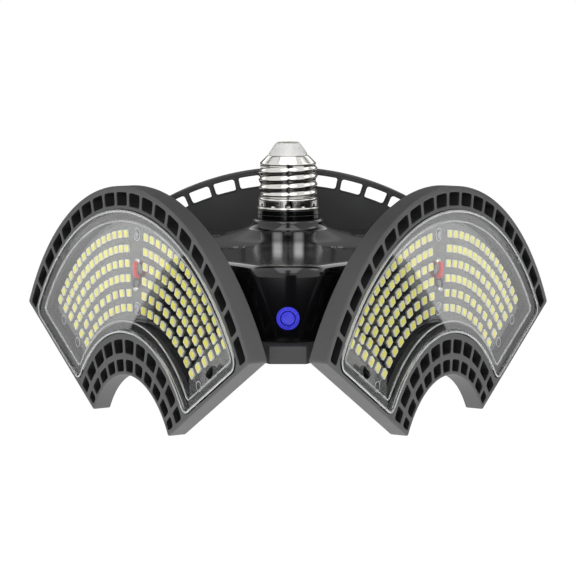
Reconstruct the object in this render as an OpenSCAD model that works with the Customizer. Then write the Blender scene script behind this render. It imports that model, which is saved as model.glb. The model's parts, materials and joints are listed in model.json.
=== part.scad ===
// Garage light with a screw base, a three-sided hub and three folding LED panels.
// Millimetres, +Z up along the screw axis. The origin is on that axis, halfway up
// the plain skirt of the screw shell. The panels are drawn folded up to 90 degrees,
// and turn down about their hinges until together they make one flat ring.
// Heights named "above the plate" start at the underside of the base plate.

/* [Panels] */
// Outer radius of the ring that the three flat panels make
disc_r = 124.5; // [122.5:0.5:128]
// Inner radius of that ring
disc_bore_r = 42.5; // [40:0.5:43]
// Thickness of a panel from its back to its lit face
panel_t = 8.2; // [7.8:0.2:12]
// Gap between two neighbouring panels when they lie flat
panel_gap = 1; // [0.4:0.2:2]
// Rounding of a panel's four corners
panel_corner_r = 1.2; // [0.6:0.2:2]

/* [Cooling slots] */
// Solid rim outside the outer row of slots
outer_rim = 2.6; // [1.8:0.2:3.4]
// Radial height of the outer slots
outer_slot_h = 5.8; // [4:0.2:6.2]
// Number of slots in the outer row
outer_slots = 20; // [16:2:22]
// Angle from one outer slot to the next
outer_pitch = 5.889; // [5:0.001:6]
// Solid rim inside the innermost row of slots
inner_rim = 1.6; // [1.2:0.2:2]
// Radial height of the innermost slots
inner_slot_h = 5.2; // [4:0.2:5.6]
// Radial height of the second inner row
second_slot_h = 6; // [4:0.2:6.4]
// Number of ribs in each inner row
inner_ribs = 10; // [8:2:10]
// Angle from one inner rib to the next
inner_pitch = 11.12; // [10:0.01:11.4]
// Band between the two inner rows
row_band = 2.7; // [2:0.1:3]
// Width of the ribs between slots
rib_w = 2; // [1.4:0.1:2.6]
// Solid edge along the two straight sides of a panel
side_rim = 2.2; // [1.6:0.1:2.8]

/* [Lens and LED board] */
// Band between the outer slots and the lens recess
lens_outer_band = 1.5; // [1:0.1:2.2]
// Band between the inner slots and the lens recess
lens_inner_band = 2.6; // [1.6:0.1:3.2]
// Edge between a panel's straight side and the lens recess
lens_side_band = 1.8; // [1.4:0.1:2.4]
// Corner rounding of the lens recess
lens_corner_r = 5.2; // [4.4:0.2:6]
// Ledge that the gasket and the lens sit on
ledge_w = 4.6; // [3.6:0.2:5]
// Thickness of the clear lens
lens_t = 1.6; // [1.2:0.1:2]
// Width of the raised bead round the lens
bead_w = 1.4; // [1:0.1:1.8]
// How far the bead stands above the panel's face
bead_h = 0.6; // [0.2:0.1:1]
// Depth of the lens below the panel's face
lens_sink = 0.2; // [0:0.1:0.6]
// Gasket thickness under the lens
gasket_t = 0.8; // [0.5:0.1:1]
// Thickness of the tray floor behind the LED board
tray_floor = 1.6; // [1.2:0.1:2]
// Thickness of the LED board
led_board_t = 1.2; // [0.8:0.1:1.4]
// Play all round the LED board and the lens
fit_gap = 0.25; // [0.15:0.05:0.4]

/* [LEDs] */
// Distance of the outermost and innermost LED rows from the tray's walls
led_margin = 6.3; // [5:0.1:7]
// LEDs in half a row, from the outermost row inwards
led_half_counts = [15, 15, 12, 12, 9, 9];
// Angle of the first LED from the panel's middle
led_first_angle = 5.4; // [5:0.1:6]
// Distance of the last LED from the panel's straight side
led_side = 18; // [16:0.5:20]
// LED length along its row
led_l = 3.9; // [2.8:0.1:4.2]
// LED width across its row
led_w = 3.3; // [2.8:0.1:3.6]
// LED height above the board
led_h = 0.7; // [0.5:0.1:0.9]

/* [Hinges] */
// Distance of the hinge axes inside the plate's sides
hinge_inset = 4.1; // [4:0.1:4.4]
// Height of the hinge axes above the plate
hinge_z = 3.6; // [3.5:0.1:3.7]
// Distance of a panel's back from its hinge axis
hinge_offset = 6.5; // [6.2:0.1:7]
// Half the distance between the two hinges of a panel
hinge_half_span = 26; // [22:1:34]
// Width of a panel's hinge lug
lug_w = 9; // [7:0.5:11]
// Outer radius of a hinge lug
lug_r = 3; // [2.8:0.1:3]
// Radius of a hinge pin
pin_r = 1.5; // [1.2:0.1:1.7]
// Running clearance round a hinge pin
pin_clear = 0.06; // [0.03:0.01:0.09]
// Thickness of a friction washer
washer_t = 0.8; // [0.6:0.1:1]
// Thickness of a bracket ear
ear_t = 2; // [1.6:0.1:2.4]
// Thickness of a bracket foot
foot_t = 1.5; // [1.4:0.1:1.8]
// Length of a bracket foot
foot_l = 12; // [11:0.5:13]

/* [Base plate] */
// Distance of the plate's three sides from the lamp's axis
plate_side = 68.8; // [68.4:0.1:69.4]
// How far the plate's cut corners stand in front of the cover's
corner_ledge = 10.5; // [8:0.5:11]
// Plate thickness at its edge
plate_t = 7; // [7:0.1:8]
// Plate thickness inside the hub
plate_floor = 2.5; // [2:0.1:3]
// Height of the lip that locates the cover
lip_h = 2; // [1:0.2:3]

/* [Hub cover] */
// Distance of the cover's three walls inside the plate's sides
cover_step = 2.5; // [2.2:0.1:2.8]
// Radius to which the cover's corners are turned
cover_corner_r = 114.5; // [112:0.5:116]
// Wall thickness of the cover
cover_wall = 2.4; // [2:0.1:2.8]
// Height of the cover's three ridges above the plate
crown_z = 37.3; // [36:0.1:39]
// Radius of the vaults that the ridges run along
vault_r = 240; // [180:5:400]
// Rounding of the cover's upper corners
cover_edge_r = 4.4; // [3.2:0.2:5]
// Radius of the neck's top
neck_top_r = 15.9; // [15.5:0.1:16.5]
// Radius of the neck where it meets its cone
neck_r = 17.2; // [16.6:0.1:18]
// Height of the neck above the plate
neck_z = 46.2; // [45.6:0.1:47]
// Height of the cone's upper edge above the plate
cone_z = 41.9; // [41:0.1:43]
// Slope of the cone under the neck
cone_angle = 16.7; // [14:0.1:20]
// Distance of the cover screws from the lamp's axis
screw_circle_r = 45; // [44:0.5:47]
// Depth of the screw recesses
recess_depth = 2.6; // [2:0.2:3.4]

/* [Screw base] */
// Height of the screw shell's lower edge above the plate
shell_z = 50.5; // [50:0.5:53]
// Radius of the plain skirt of the shell
skirt_r = 13.25; // [13.2:0.01:13.3]
// Length of the plain skirt
skirt_h = 4; // [3.5:0.1:4.5]
// Radius of the rim at the shell's lower edge
shell_rim_r = 13.9; // [13.5:0.1:14]
// Height of that rim
shell_rim_h = 0.8; // [0.5:0.1:1]
// Crest radius of the thread
crest_r = 13.15; // [13.05:0.01:13.15]
// Root radius of the thread
root_r = 12.2; // [12:0.1:12.3]
// Thread pitch
thread_pitch = 3.629; // [3.6:0.001:3.65]
// Wall of the screw shell
shell_wall = 0.6; // [0.4:0.1:0.7]
// Height of the shell from its lower edge to its shoulder
shoulder_z = 20; // [19.5:0.1:21]
// Height of the shoulder cone
shoulder_h = 5; // [4:0.1:5.5]
// Radius of the shell's mouth at the insulator
mouth_r = 8.2; // [7.8:0.1:8.6]
// Height of the insulator above the shell
insulator_h = 4.6; // [4:0.2:6]
// Radius of the insulator's top
insulator_top_r = 4.9; // [4.6:0.1:5.4]
// Radius of the centre contact
contact_r = 3.6; // [3:0.1:4]
// Radius of the collar under the shell
collar_r = 14; // [13.9:0.1:14.5]
// Radius of the leads' passage through the collar
passage_r = 10.7; // [10.5:0.1:10.8]

/* [Push button] */
// Height of the button's centre above the plate
button_z = 16.8; // [15:0.1:19]
// Radius of the button's ring
bezel_r = 4.65; // [4.4:0.05:5]
// How far the ring stands in front of the cover
bezel_proud = 0.9; // [0.6:0.1:1.2]
// Radius of the button's cap
cap_r = 2.8; // [2.4:0.1:2.9]
// Running gap round the cap
cap_gap = 0.3; // [0.25:0.05:0.4]
// How far the cap stands in front of its ring
cap_proud = 0.5; // [0.3:0.1:1.4]
// Travel of the button
button_travel = 1.2; // [0.6:0.1:1.4]

/* [Driver] */
// Length of the driver board
driver_l = 66; // [60:1:70]
// Width of the driver board
driver_w = 44; // [42:1:48]
// Thickness of the driver board
driver_t = 1.6; // [1.2:0.2:2]
// Height of the posts under the driver board
post_h = 5.5; // [4:0.5:8]
// Radius of the supply leads
lead_r = 0.8; // [0.6:0.1:0.9]

/* [Hidden] */
$fn = 96;

// Directions of the three sides and the three corners
back_side = 90;
left_side = 210;
right_side = 330;
sides = [back_side, left_side, right_side];
corners = [270, 30, 150];
half_angle = 60;
eps = 0.01;

// Sides of the hinges and the cover, measured from the plate's
hinge_r = plate_side - hinge_inset;
cover_side = plate_side - cover_step;
plate_corner = cover_corner_r + corner_ledge;

// Flat panels are centred on the lamp's axis, which sets where the folded ones stand
panel_back_r = hinge_r + hinge_offset;
ring_centre_z = hinge_z - hinge_r;

// Radii of the slot rows and of the lens recess
outer_slot_r2 = disc_r - outer_rim;
outer_slot_r1 = outer_slot_r2 - outer_slot_h;
inner_slot_r1 = disc_bore_r + inner_rim;
inner_slot_r2 = inner_slot_r1 + inner_slot_h;
second_slot_r1 = inner_slot_r2 + row_band;
second_slot_r2 = second_slot_r1 + second_slot_h;
recess_r1 = second_slot_r2 + lens_inner_band;
recess_r2 = outer_slot_r1 - lens_outer_band;
recess_side = panel_gap / 2 + lens_side_band;
tray_r1 = recess_r1 + ledge_w;
tray_r2 = recess_r2 - ledge_w;
tray_side = recess_side + ledge_w;
tray_corner_r = lens_corner_r / 2;

// Depths in a panel, from its back
board_top = tray_floor + led_board_t;
lens_z1 = panel_t - lens_sink - lens_t;
ledge_z = lens_z1 - gasket_t;

// Middle line of the LED board: screws, wire hole and solder pads
led_outer_r = tray_r2 - led_margin;
led_inner_r = tray_r1 + led_margin;
led_row_step = (led_outer_r - led_inner_r) / (len(led_half_counts) - 1);
wire_hole_r = (led_outer_r + led_inner_r) / 2 - 1.6;
wire_hole_size = 2.3;
board_screw_rs = [led_outer_r, led_inner_r];
board_screw_r = 1.1;
board_screw_head_r = 1.9;
board_screw_head_h = 0.9;
pad_r = 1.5;
pad_h = 0.5;
lead_pitch = 1.1;
red_reach = 6.4;
black_reach = 6;
lead_bend_r = 1.7;
sleeve_r = 0.9;
wire_r = 0.8;
lens_bottom_gap = 0.4;
cap_body_r = 1.5;
cap_body_l = 6;
cap_lift = 0.2;
end_hole_r = 1.4;
end_part_gap = 4.4;

// Hinge hardware
washer_play = 0.1;
ear_in = lug_w / 2 + washer_t + 2 * washer_play;
ear_out = ear_in + ear_t;
pin_head_r = pin_r + 1.1;
pin_head_h = 1.1;
clip_t = 0.7;
clip_groove = 0.2;
pin_end = ear_out + clip_t + 0.6;
notch_half = ear_out + pin_head_h + 0.8;
notch_gap = 0.3;
ear_r = lug_r - 0.1;
ear_back = hinge_r - 5.8;
foot_in = ear_back + 1.1 - foot_l;
foot_screw_r = 1.1;
foot_head_r = 2;
foot_head_h = 0.8;
foot_screw_x = 4;
foot_screw_in = foot_in + 3.6;
block_half = ear_out + 2.6;
block_in = foot_in - 2;
plate_well_side = cover_side - 9;
screw_play = 0.1;

// Cover screws and their posts
boss_r = 4;
cup_wall = 1.5;
cup_floor = 2.2;
recess_r = 3.2;
cover_screw_r = 1.45;
cover_head_r = 2.7;
cover_head_h = 1.8;
cover_screw_l = 12;
recess_z = crown_z - pow(screw_circle_r * sin(30), 2) / (2 * vault_r) - recess_depth;
boss_z = recess_z - cup_floor;

// Screw shell: the plain ends reach a little way into the threaded wall
skirt_top = shell_rim_h + skirt_h;
skirt_middle = shell_rim_h + skirt_h / 2;
root_low = skirt_top + 0.5;
root_high = shoulder_z - 0.4;
cone_r = crest_r - 0.3;
thread_fade = 1.4;
thread_sides = 36;
thread_rings = 32;
joint_step = 0.1;
joint_depth = 0.4;

// Neck and cone: the cone runs on until it is below the vaults all round
cone_x = neck_r + 1.8 * (cone_z - crown_z) / tan(cone_angle);
spigot_r = root_r - shell_wall - 0.1;
spigot_h = 3.4;
collar_seat_gap = 0.1;
collar_tail = 6;
tail_r = collar_r - 1.2;

// Button
bezel_tube_r = cap_r + cap_gap + 0.8;
bezel_hole_gap = 0.1;
bezel_depth = cover_wall + 2.6;
shoulder_gap = 0.3;
shoulder_r = cap_r + cap_gap + 0.5;
shoulder_t = 1.2;
stem_r = 1.4;
switch_bore_gap = 0.3;
switch_size = 6.2;
switch_depth = 4;
switch_board_t = 1.4;
switch_board_w = 14;
switch_board_h = 22;
cap_front = cover_corner_r + bezel_proud + cap_proud;
bezel_back = cover_corner_r - bezel_depth;
shoulder_front = bezel_back - shoulder_gap;
shoulder_back = shoulder_front - shoulder_t;
switch_front = shoulder_back - button_travel - shoulder_gap;
stem_back = switch_front - 1;
switch_back = switch_front - switch_depth;
switch_board_bottom = plate_floor + 0.5;
switch_slot_wall = 2;
switch_pocket = switch_depth + switch_board_t + 2 * switch_slot_wall;

// Driver
driver_z = plate_floor + post_h;
driver_top = driver_z + driver_t;
post_r = 3;
post_x = driver_l / 2 - 4;
post_y = driver_w / 2 - 4;
driver_screw_r = 1.1;
driver_head_r = 2;
driver_head_h = 1.2;
live_top = shell_z + shoulder_z + shoulder_h + 1.4;
neutral_r = passage_r - lead_r - 0.3;
neutral_top = shell_z + 8;
can_r = 5;
can_h = 18;
can_y = 9;
choke_r = 7;
choke_bore_r = 3;
choke_h = 7;
bridge_size = [8, 6, 3];
chip_size = [5, 4, 1.6];
chip_xs = [-9, 13];
chip_y = 15;
fuse_x = -8;
fuse_r = 2.2;
fuse_h = 9;
terminal_size = [16, 10, 9];
terminal_y = -10;
terminal_pitch = 5;
terminal_hole_r = 1.6;
terminal_floor = 3;

// Helpers

// Heights from the lower edge of the screw shell
module from_shell() {
    translate([0, 0, -skirt_middle]) children();
}

// Heights from the underside of the base plate
module from_plate() {
    from_shell() translate([0, 0, -shell_z]) children();
}

// Copies for the three sides, with +Y of the children pointing outwards
module each_side() {
    for (a = sides) rotate([0, 0, a - 90]) children();
}

// A panel's own frame: X along its hinge, Y from ring centre outwards, Z from back to face.
// The right panel is the left one mirrored.
module on_panel(side) {
    from_plate()
    rotate([0, 0, side + 90])
    rotate([90, 0, 0])
    translate([0, ring_centre_z, panel_back_r])
    mirror([side == right_side ? 1 : 0, 0, 0])
    children();
}

// Plane with two straight sides at 60 degrees from Y, each moved inwards by inset
module wedge(inset, reach) {
    apex = inset / sin(half_angle);
    polygon([[0, apex],
        [reach * sin(half_angle), apex + reach * cos(half_angle)],
        [0, apex + reach * 2],
        [-reach * sin(half_angle), apex + reach * cos(half_angle)]]);
}

// Ring sector between two radii
module sector(r1, r2, inset) {
    intersection() {
        difference() {
            circle(r = r2, $fn = 180);
            circle(r = r1, $fn = 120);
        }
        wedge(inset, disc_r * 1.2);
    }
}

// Angle from Y of a point at radius r that lies d from a panel's straight side
function angle_at(r, d) = half_angle - asin(d / r);

// Ring sector with rounded corners
module round_sector(r1, r2, inset, f) {
    sector(r1 + f, r2 - f, inset);
    sector(r1, r2, inset + f);
    for (r = [r1 + f, r2 - f], s = [-1, 1])
        rotate(-s * angle_at(r, inset + f))
        translate([0, r])
        circle(r = f, $fn = 32);
}

// One row of slots, cut by ribs of even width
module slot_row(r1, r2, ribs, pitch) {
    difference() {
        sector(r1, r2, panel_gap / 2 + side_rim);
        for (i = [0 : ribs - 1])
            rotate((i - (ribs - 1) / 2) * pitch)
            translate([-rib_w / 2, r1 - 1])
            square([rib_w, r2 - r1 + 2]);
    }
}

// Triangle with cut corners, as the plate has it
function tri_points(side, corner) =
    let (u = (corner - side * cos(half_angle)) / sin(half_angle))
    [for (a = sides, s = [-1, 1])
        [side * cos(a) - s * u * sin(a), side * sin(a) + s * u * cos(a)]];

module tri(side, corner) {
    polygon(tri_points(side, corner));
}

module ring(r2, r1, h) {
    difference() {
        cylinder(r = r2, h = h);
        translate([0, 0, -1]) cylinder(r = r1, h = h + 2);
    }
}

// Places on the LED board, by radius and angle from the middle
module at_polar(r, angle) {
    rotate([0, 0, -angle]) translate([0, r, 0]) children();
}

// Both hinges of a panel, in its own frame, with X along the pin
module at_panel_hinges() {
    for (s = [-1, 1]) translate([s * hinge_half_span, hinge_r, -hinge_offset]) children();
}

// The same hinges seen from the plate, with Y outwards
module at_plate_hinges() {
    each_side() for (s = [-1, 1]) translate([s * hinge_half_span, 0, 0]) children();
}

// Panel pieces

module panel_frame(side) {
    color("dimgray") on_panel(side) {
        difference() {
            linear_extrude(panel_t) difference() {
                round_sector(disc_bore_r, disc_r, panel_gap / 2, panel_corner_r);
                slot_row(outer_slot_r1, outer_slot_r2, outer_slots - 1, outer_pitch);
                slot_row(inner_slot_r1, inner_slot_r2, inner_ribs, inner_pitch);
                slot_row(second_slot_r1, second_slot_r2, inner_ribs, inner_pitch);
            }
            translate([0, 0, ledge_z]) linear_extrude(panel_t)
                round_sector(recess_r1, recess_r2, recess_side, lens_corner_r);
            translate([0, 0, tray_floor]) linear_extrude(panel_t)
                round_sector(tray_r1, tray_r2, tray_side, tray_corner_r);
            translate([0, wire_hole_r, -1]) cylinder(r = wire_hole_size, h = tray_floor + 2, $fn = 48);
            for (r = board_screw_rs)
                translate([0, r, -1])
                cylinder(r = board_screw_r + screw_play, h = tray_floor + 2, $fn = 32);
        }
        at_panel_hinges() rotate([0, 90, 0]) difference() {
            union() {
                translate([0, 0, -lug_w / 2]) cylinder(r = lug_r, h = lug_w, $fn = 64);
                translate([-hinge_offset - eps, -lug_r, -lug_w / 2])
                    cube([hinge_offset + eps, 2 * lug_r, lug_w]);
            }
            translate([0, 0, -lug_w]) cylinder(r = pin_r + pin_clear, h = 2 * lug_w, $fn = 64);
        }
    }
}

module panel_led_board(side) {
    color("#202022") on_panel(side) translate([0, 0, tray_floor]) difference() {
        linear_extrude(led_board_t)
            round_sector(tray_r1 + fit_gap, tray_r2 - fit_gap, tray_side + fit_gap, tray_corner_r);
        translate([0, wire_hole_r, -1]) cylinder(r = wire_hole_size, h = led_board_t + 2, $fn = 48);
        for (r = board_screw_rs)
            translate([0, r, -1])
            cylinder(r = board_screw_r + screw_play, h = led_board_t + 2, $fn = 32);
        at_polar(led_inner_r + 1, angle_at(led_inner_r, tray_side + end_part_gap))
            translate([0, 0, -1]) cylinder(r = end_hole_r, h = led_board_t + 2, $fn = 32);
    }
}

module panel_leds(side) {
    color("#f0ee90") on_panel(side)
    for (row = [0 : len(led_half_counts) - 1]) {
        r = led_outer_r - row * led_row_step;
        last = angle_at(r, led_side);
        step = (last - led_first_angle) / (led_half_counts[row] - 1);
        for (i = [0 : led_half_counts[row] - 1], s = [-1, 1])
            at_polar(r, s * (led_first_angle + i * step))
            translate([-led_l / 2, -led_w / 2, board_top])
            cube([led_l, led_w, led_h]);
    }
}

module panel_lens(side) {
    color("white", 0.35) on_panel(side) {
        translate([0, 0, lens_z1]) linear_extrude(lens_t) lens_outline(0);
        translate([0, 0, lens_z1 + lens_t - eps])
        linear_extrude(lens_sink + bead_h + eps)
        difference() {
            lens_outline(0);
            lens_outline(bead_w);
        }
    }
}

module lens_outline(inset) {
    round_sector(recess_r1 + fit_gap + inset, recess_r2 - fit_gap - inset,
        recess_side + fit_gap + inset, lens_corner_r - inset);
}

module panel_gasket(side) {
    color("black") on_panel(side) translate([0, 0, ledge_z]) linear_extrude(gasket_t) difference() {
        lens_outline(0);
        round_sector(tray_r1 - fit_gap, tray_r2 + fit_gap, tray_side - fit_gap, tray_corner_r);
    }
}

module panel_board_screws(side) {
    color("silver") on_panel(side) for (r = board_screw_rs) translate([0, r, 0]) {
        translate([0, 0, 0.1]) cylinder(r = board_screw_r, h = board_top, $fn = 32);
        translate([0, 0, board_top]) cylinder(r = board_screw_head_r, h = board_screw_head_h, $fn = 48);
    }
}

// A lead that rises from the wire hole, lies over the board and turns down to its pad
module board_lead(reach, r, rise) {
    bend = lead_bend_r;
    translate([0, 0, 0.2]) cylinder(r = r, h = rise - bend - 0.2, $fn = 24);
    translate([0, bend, rise - bend]) rotate([90, 0, -90])
        rotate_extrude(angle = 90, $fn = 48) translate([bend, 0]) circle(r = r, $fn = 24);
    translate([0, bend, rise]) rotate([-90, 0, 0]) cylinder(r = r, h = reach - 2 * bend, $fn = 24);
    translate([0, reach - bend, rise - bend]) rotate([90, 0, 90])
        rotate_extrude(angle = 90, $fn = 48) translate([bend, 0]) circle(r = r, $fn = 24);
    translate([0, reach, board_top + pad_h])
        cylinder(r = r, h = rise - bend - board_top - pad_h, $fn = 24);
}

function lead_rise(r) = lens_z1 - lens_bottom_gap - r;

module panel_red_lead(side) {
    color("crimson") on_panel(side) translate([lead_pitch, wire_hole_r, 0])
        board_lead(red_reach, sleeve_r, lead_rise(sleeve_r));
}

module panel_black_lead(side) {
    color("black") on_panel(side) translate([-lead_pitch, wire_hole_r, 0]) rotate([0, 0, 180])
        board_lead(black_reach, wire_r, lead_rise(wire_r));
}

module panel_solder_joints(side) {
    color("silver") on_panel(side) {
        translate([lead_pitch, wire_hole_r + red_reach, board_top])
            cylinder(r = pad_r, h = pad_h, $fn = 32);
        translate([-lead_pitch, wire_hole_r - black_reach, board_top])
            cylinder(r = pad_r, h = pad_h, $fn = 32);
    }
}

module panel_board_capacitor(side) {
    r = (led_outer_r + led_inner_r) / 2 + 1;
    color("black") on_panel(side) at_polar(r, angle_at(r, tray_side + end_part_gap))
    translate([0, 0, board_top + cap_lift]) {
        translate([0, -cap_body_l / 2, cap_body_r]) rotate([-90, 0, 0])
            cylinder(r = cap_body_r, h = cap_body_l, $fn = 32);
        for (s = [-1, 1]) translate([0, s * cap_body_l / 4, -cap_lift])
            cylinder(r = 0.4, h = cap_body_r, $fn = 16);
    }
}

module panel_hinge_washers(side) {
    color("silver") on_panel(side) at_panel_hinges() rotate([0, 90, 0]) for (s = [0, 1])
        mirror([0, 0, s]) translate([0, 0, lug_w / 2])
        ring(pin_head_r, pin_r + pin_clear, washer_t);
}

// Base plate and hinge hardware

module base_plate() {
    color("#4a4a4a") from_plate() difference() {
        union() {
            difference() {
                linear_extrude(plate_t) tri(plate_side, plate_corner);
                translate([-switch_board_w / 2 - switch_slot_wall, -switch_front, plate_floor])
                    cube([switch_board_w + 2 * switch_slot_wall, switch_pocket, plate_t]);
                translate([0, 0, plate_floor]) linear_extrude(plate_t) difference() {
                    tri(plate_well_side, cover_corner_r - 10);
                    at_plate_hinges() translate([-block_half, block_in])
                        square([2 * block_half, plate_side - block_in]);
                }
            }
            plate_lip();
            for (i = [0 : 5]) rotate([0, 0, 60 * i]) translate([screw_circle_r, 0, eps])
                cylinder(r = boss_r, h = boss_z - eps, $fn = 48);
            for (x = [-post_x, post_x], y = [-post_y, post_y]) translate([x, y, eps])
                cylinder(r = post_r, h = driver_z - eps, $fn = 48);
            switch_holder();
        }
        for (i = [0 : 5]) rotate([0, 0, 60 * i])
            translate([screw_circle_r, 0, boss_z + cup_floor - cover_screw_l - 1])
            cylinder(r = cover_screw_r + screw_play, h = cover_screw_l + 2, $fn = 32);
        for (x = [-post_x, post_x], y = [-post_y, post_y]) translate([x, y, plate_floor])
            cylinder(r = driver_screw_r + screw_play, h = post_h + 1, $fn = 32);
        at_plate_hinges() {
            translate([-notch_half, ear_back - notch_gap, -1])
                cube([2 * notch_half, plate_side, plate_t + 1]);
            translate([-ear_out - notch_gap, foot_in - notch_gap, -1])
                cube([2 * (ear_out + notch_gap), foot_l + 1, foot_t + 1]);
            for (s = [-1, 1]) translate([s * foot_screw_x, foot_screw_in, 0])
                cylinder(r = foot_screw_r + screw_play, h = plate_t - 0.8, $fn = 32);
        }
    }
}

// Lip inside the cover's walls, left out over the hinge notches
module plate_lip() {
    lip_side = cover_side - cover_wall - fit_gap;
    lip_corner = cover_corner_r - cover_wall - fit_gap - 1.4;
    translate([0, 0, plate_t - eps]) linear_extrude(lip_h + eps) difference() {
        tri(lip_side, lip_corner);
        tri(lip_side - 1.6, lip_corner - 1.6);
        at_plate_hinges() translate([-notch_half, ear_back - 1])
            square([2 * notch_half, plate_side - ear_back]);
    }
}

// Two slotted posts that hold the small switch board upright
module switch_holder() {
    for (s = [-1, 1]) difference() {
        translate([s * switch_board_w / 2 - 1.5, -switch_back - 2, plate_floor - eps])
            cube([3, switch_board_t + 2 * switch_slot_wall, switch_board_h * 0.7]);
        translate([-switch_board_w / 2 - fit_gap, -switch_back - fit_gap / 2, switch_board_bottom])
            cube([switch_board_w + 2 * fit_gap, switch_board_t + fit_gap, switch_board_h]);
    }
}

module hinge_brackets() {
    color("gray") from_plate() at_plate_hinges() {
        difference() {
            translate([-ear_out, foot_in, 0]) cube([2 * ear_out, foot_l, foot_t]);
            for (s = [-1, 1]) translate([s * foot_screw_x, foot_screw_in, 0]) {
                translate([0, 0, -1]) cylinder(r = foot_screw_r + screw_play, h = foot_t + 2, $fn = 32);
                translate([0, 0, -1]) cylinder(r = foot_head_r + screw_play, h = 1 + foot_head_h, $fn = 32);
            }
        }
        for (s = [-1, 1]) difference() {
            translate([s * (ear_in + ear_t / 2) - ear_t / 2, 0, 0]) union() {
                translate([0, hinge_r, hinge_z]) rotate([0, 90, 0]) cylinder(r = ear_r, h = ear_t, $fn = 64);
                translate([0, ear_back, 0]) cube([ear_t, hinge_r - ear_back, hinge_z + ear_r]);
                translate([0, hinge_r - eps, 0]) cube([ear_t, ear_r + eps, hinge_z]);
            }
            translate([-ear_out - 1, hinge_r, hinge_z]) rotate([0, 90, 0])
                cylinder(r = pin_r + pin_clear / 3, h = 2 * ear_out + 2, $fn = 64);
        }
    }
}

module bracket_screws() {
    color("silver") from_plate() at_plate_hinges() for (s = [-1, 1])
    translate([s * foot_screw_x, foot_screw_in, 0]) {
        cylinder(r = foot_head_r, h = foot_head_h, $fn = 32);
        cylinder(r = foot_screw_r, h = plate_t - 1.2, $fn = 32);
    }
}

module hinge_pins() {
    color("silver") from_plate() at_plate_hinges() translate([0, hinge_r, hinge_z]) rotate([0, 90, 0])
    difference() {
        union() {
            translate([0, 0, -ear_out]) cylinder(r = pin_r, h = ear_out + pin_end, $fn = 64);
            translate([0, 0, -ear_out - pin_head_h]) cylinder(r = pin_head_r, h = pin_head_h, $fn = 48);
        }
        translate([0, 0, ear_out + 0.1]) ring(pin_r + 1, pin_r - clip_groove, clip_t);
    }
}

module pin_clips() {
    color("dimgray") from_plate() at_plate_hinges()
    translate([ear_out + 0.15, hinge_r, hinge_z]) rotate([0, 90, 0]) difference() {
        ring(pin_head_r, pin_r - clip_groove + 0.03, clip_t - 0.1);
        translate([pin_r - 0.9, -0.6, -1]) cube([3, 1.2, clip_t + 2]);
    }
}

// Hub cover

// One vault, which runs from the lamp's axis along the ridge to a corner
module vault(inset) {
    rotate([90, 0, 0]) linear_extrude(cover_corner_r + cover_wall) intersection() {
        translate([0, crown_z - vault_r]) circle(r = vault_r - inset, $fn = 720);
        translate([-2 * cover_side, plate_t - inset]) square([4 * cover_side, crown_z]);
    }
}

// Turned outline that rounds the cover's corners
module corner_profile(inset) {
    low = plate_t - inset;
    edge_x = cover_corner_r - cover_edge_r;
    edge_z = crown_z - cover_edge_r;
    translate([0, low]) square([edge_x, crown_z + 1 - low]);
    translate([0, low]) square([cover_corner_r - inset, edge_z - low]);
    translate([edge_x, edge_z]) circle(r = cover_edge_r - inset, $fn = 48);
}

// Neck on the cone that widens into the vaults
module neck_profile(inset) {
    low = crown_z - 8;
    cone_low = cone_z - (cone_x - neck_r) * tan(cone_angle);
    polygon([[0, low], [cone_x, low], [cone_x, cone_low - inset], [neck_r - inset / 2, cone_z - inset],
        [neck_top_r - inset / 2, neck_z - inset], [0, neck_z - inset]]);
}

module cover_body(inset) {
    intersection() {
        rotate_extrude($fn = 180) corner_profile(inset);
        translate([0, 0, -1]) linear_extrude(2 * crown_z) tri(cover_side - inset, 2 * cover_side);
        for (a = corners) rotate([0, 0, a - 270]) vault(inset);
    }
    rotate_extrude() neck_profile(inset);
}

module hub_cover() {
    color("#101012") from_plate() {
        difference() {
            cover_body(0);
            difference() {
                cover_body(cover_wall);
                for (i = [0 : 5]) rotate([0, 0, 60 * i])
                    translate([screw_circle_r, 0, boss_z])
                    cylinder(r = recess_r + cup_wall, h = crown_z, $fn = 48);
            }
            translate([0, 0, crown_z]) cylinder(r = tail_r + collar_seat_gap, h = neck_z);
            for (i = [0 : 5]) rotate([0, 0, 60 * i]) translate([screw_circle_r, 0, 0]) {
                translate([0, 0, recess_z]) cylinder(r = recess_r, h = crown_z, $fn = 48);
                translate([0, 0, boss_z - 1]) cylinder(r = cover_screw_r + screw_play, h = crown_z, $fn = 32);
            }
            translate([0, -cover_corner_r + cover_wall * 3, button_z]) rotate([90, 0, 0])
                cylinder(r = bezel_tube_r + bezel_hole_gap, h = cover_wall * 4, $fn = 64);
        }
    }
}

module cover_screws() {
    color("#1a1a1a") from_plate() for (i = [0 : 5]) rotate([0, 0, 60 * i])
    translate([screw_circle_r, 0, recess_z]) {
        difference() {
            cylinder(r = cover_head_r, h = cover_head_h, $fn = 48);
            for (a = [0, 90]) rotate([0, 0, a + 20])
                translate([-1.5, -0.35, cover_head_h - 0.8]) cube([3, 0.7, 2]);
        }
        translate([0, 0, -cover_screw_l]) cylinder(r = cover_screw_r, h = cover_screw_l + eps, $fn = 32);
    }
}

// Push button at the front corner; the profiles run along its axis, from front to back

module from_front() {
    from_plate() translate([0, 0, button_z]) rotate([90, 0, 0]) children();
}

module button_bezel() {
    color("#3333cc") from_front() rotate_extrude($fn = 64) polygon([
        [cap_r + cap_gap, bezel_back], [bezel_tube_r, bezel_back],
        [bezel_tube_r, cover_corner_r], [bezel_r, cover_corner_r],
        [bezel_r, cover_corner_r + bezel_proud - 0.3],
        [bezel_r - 0.3, cover_corner_r + bezel_proud],
        [cap_r + cap_gap, cover_corner_r + bezel_proud]]);
}

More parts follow.
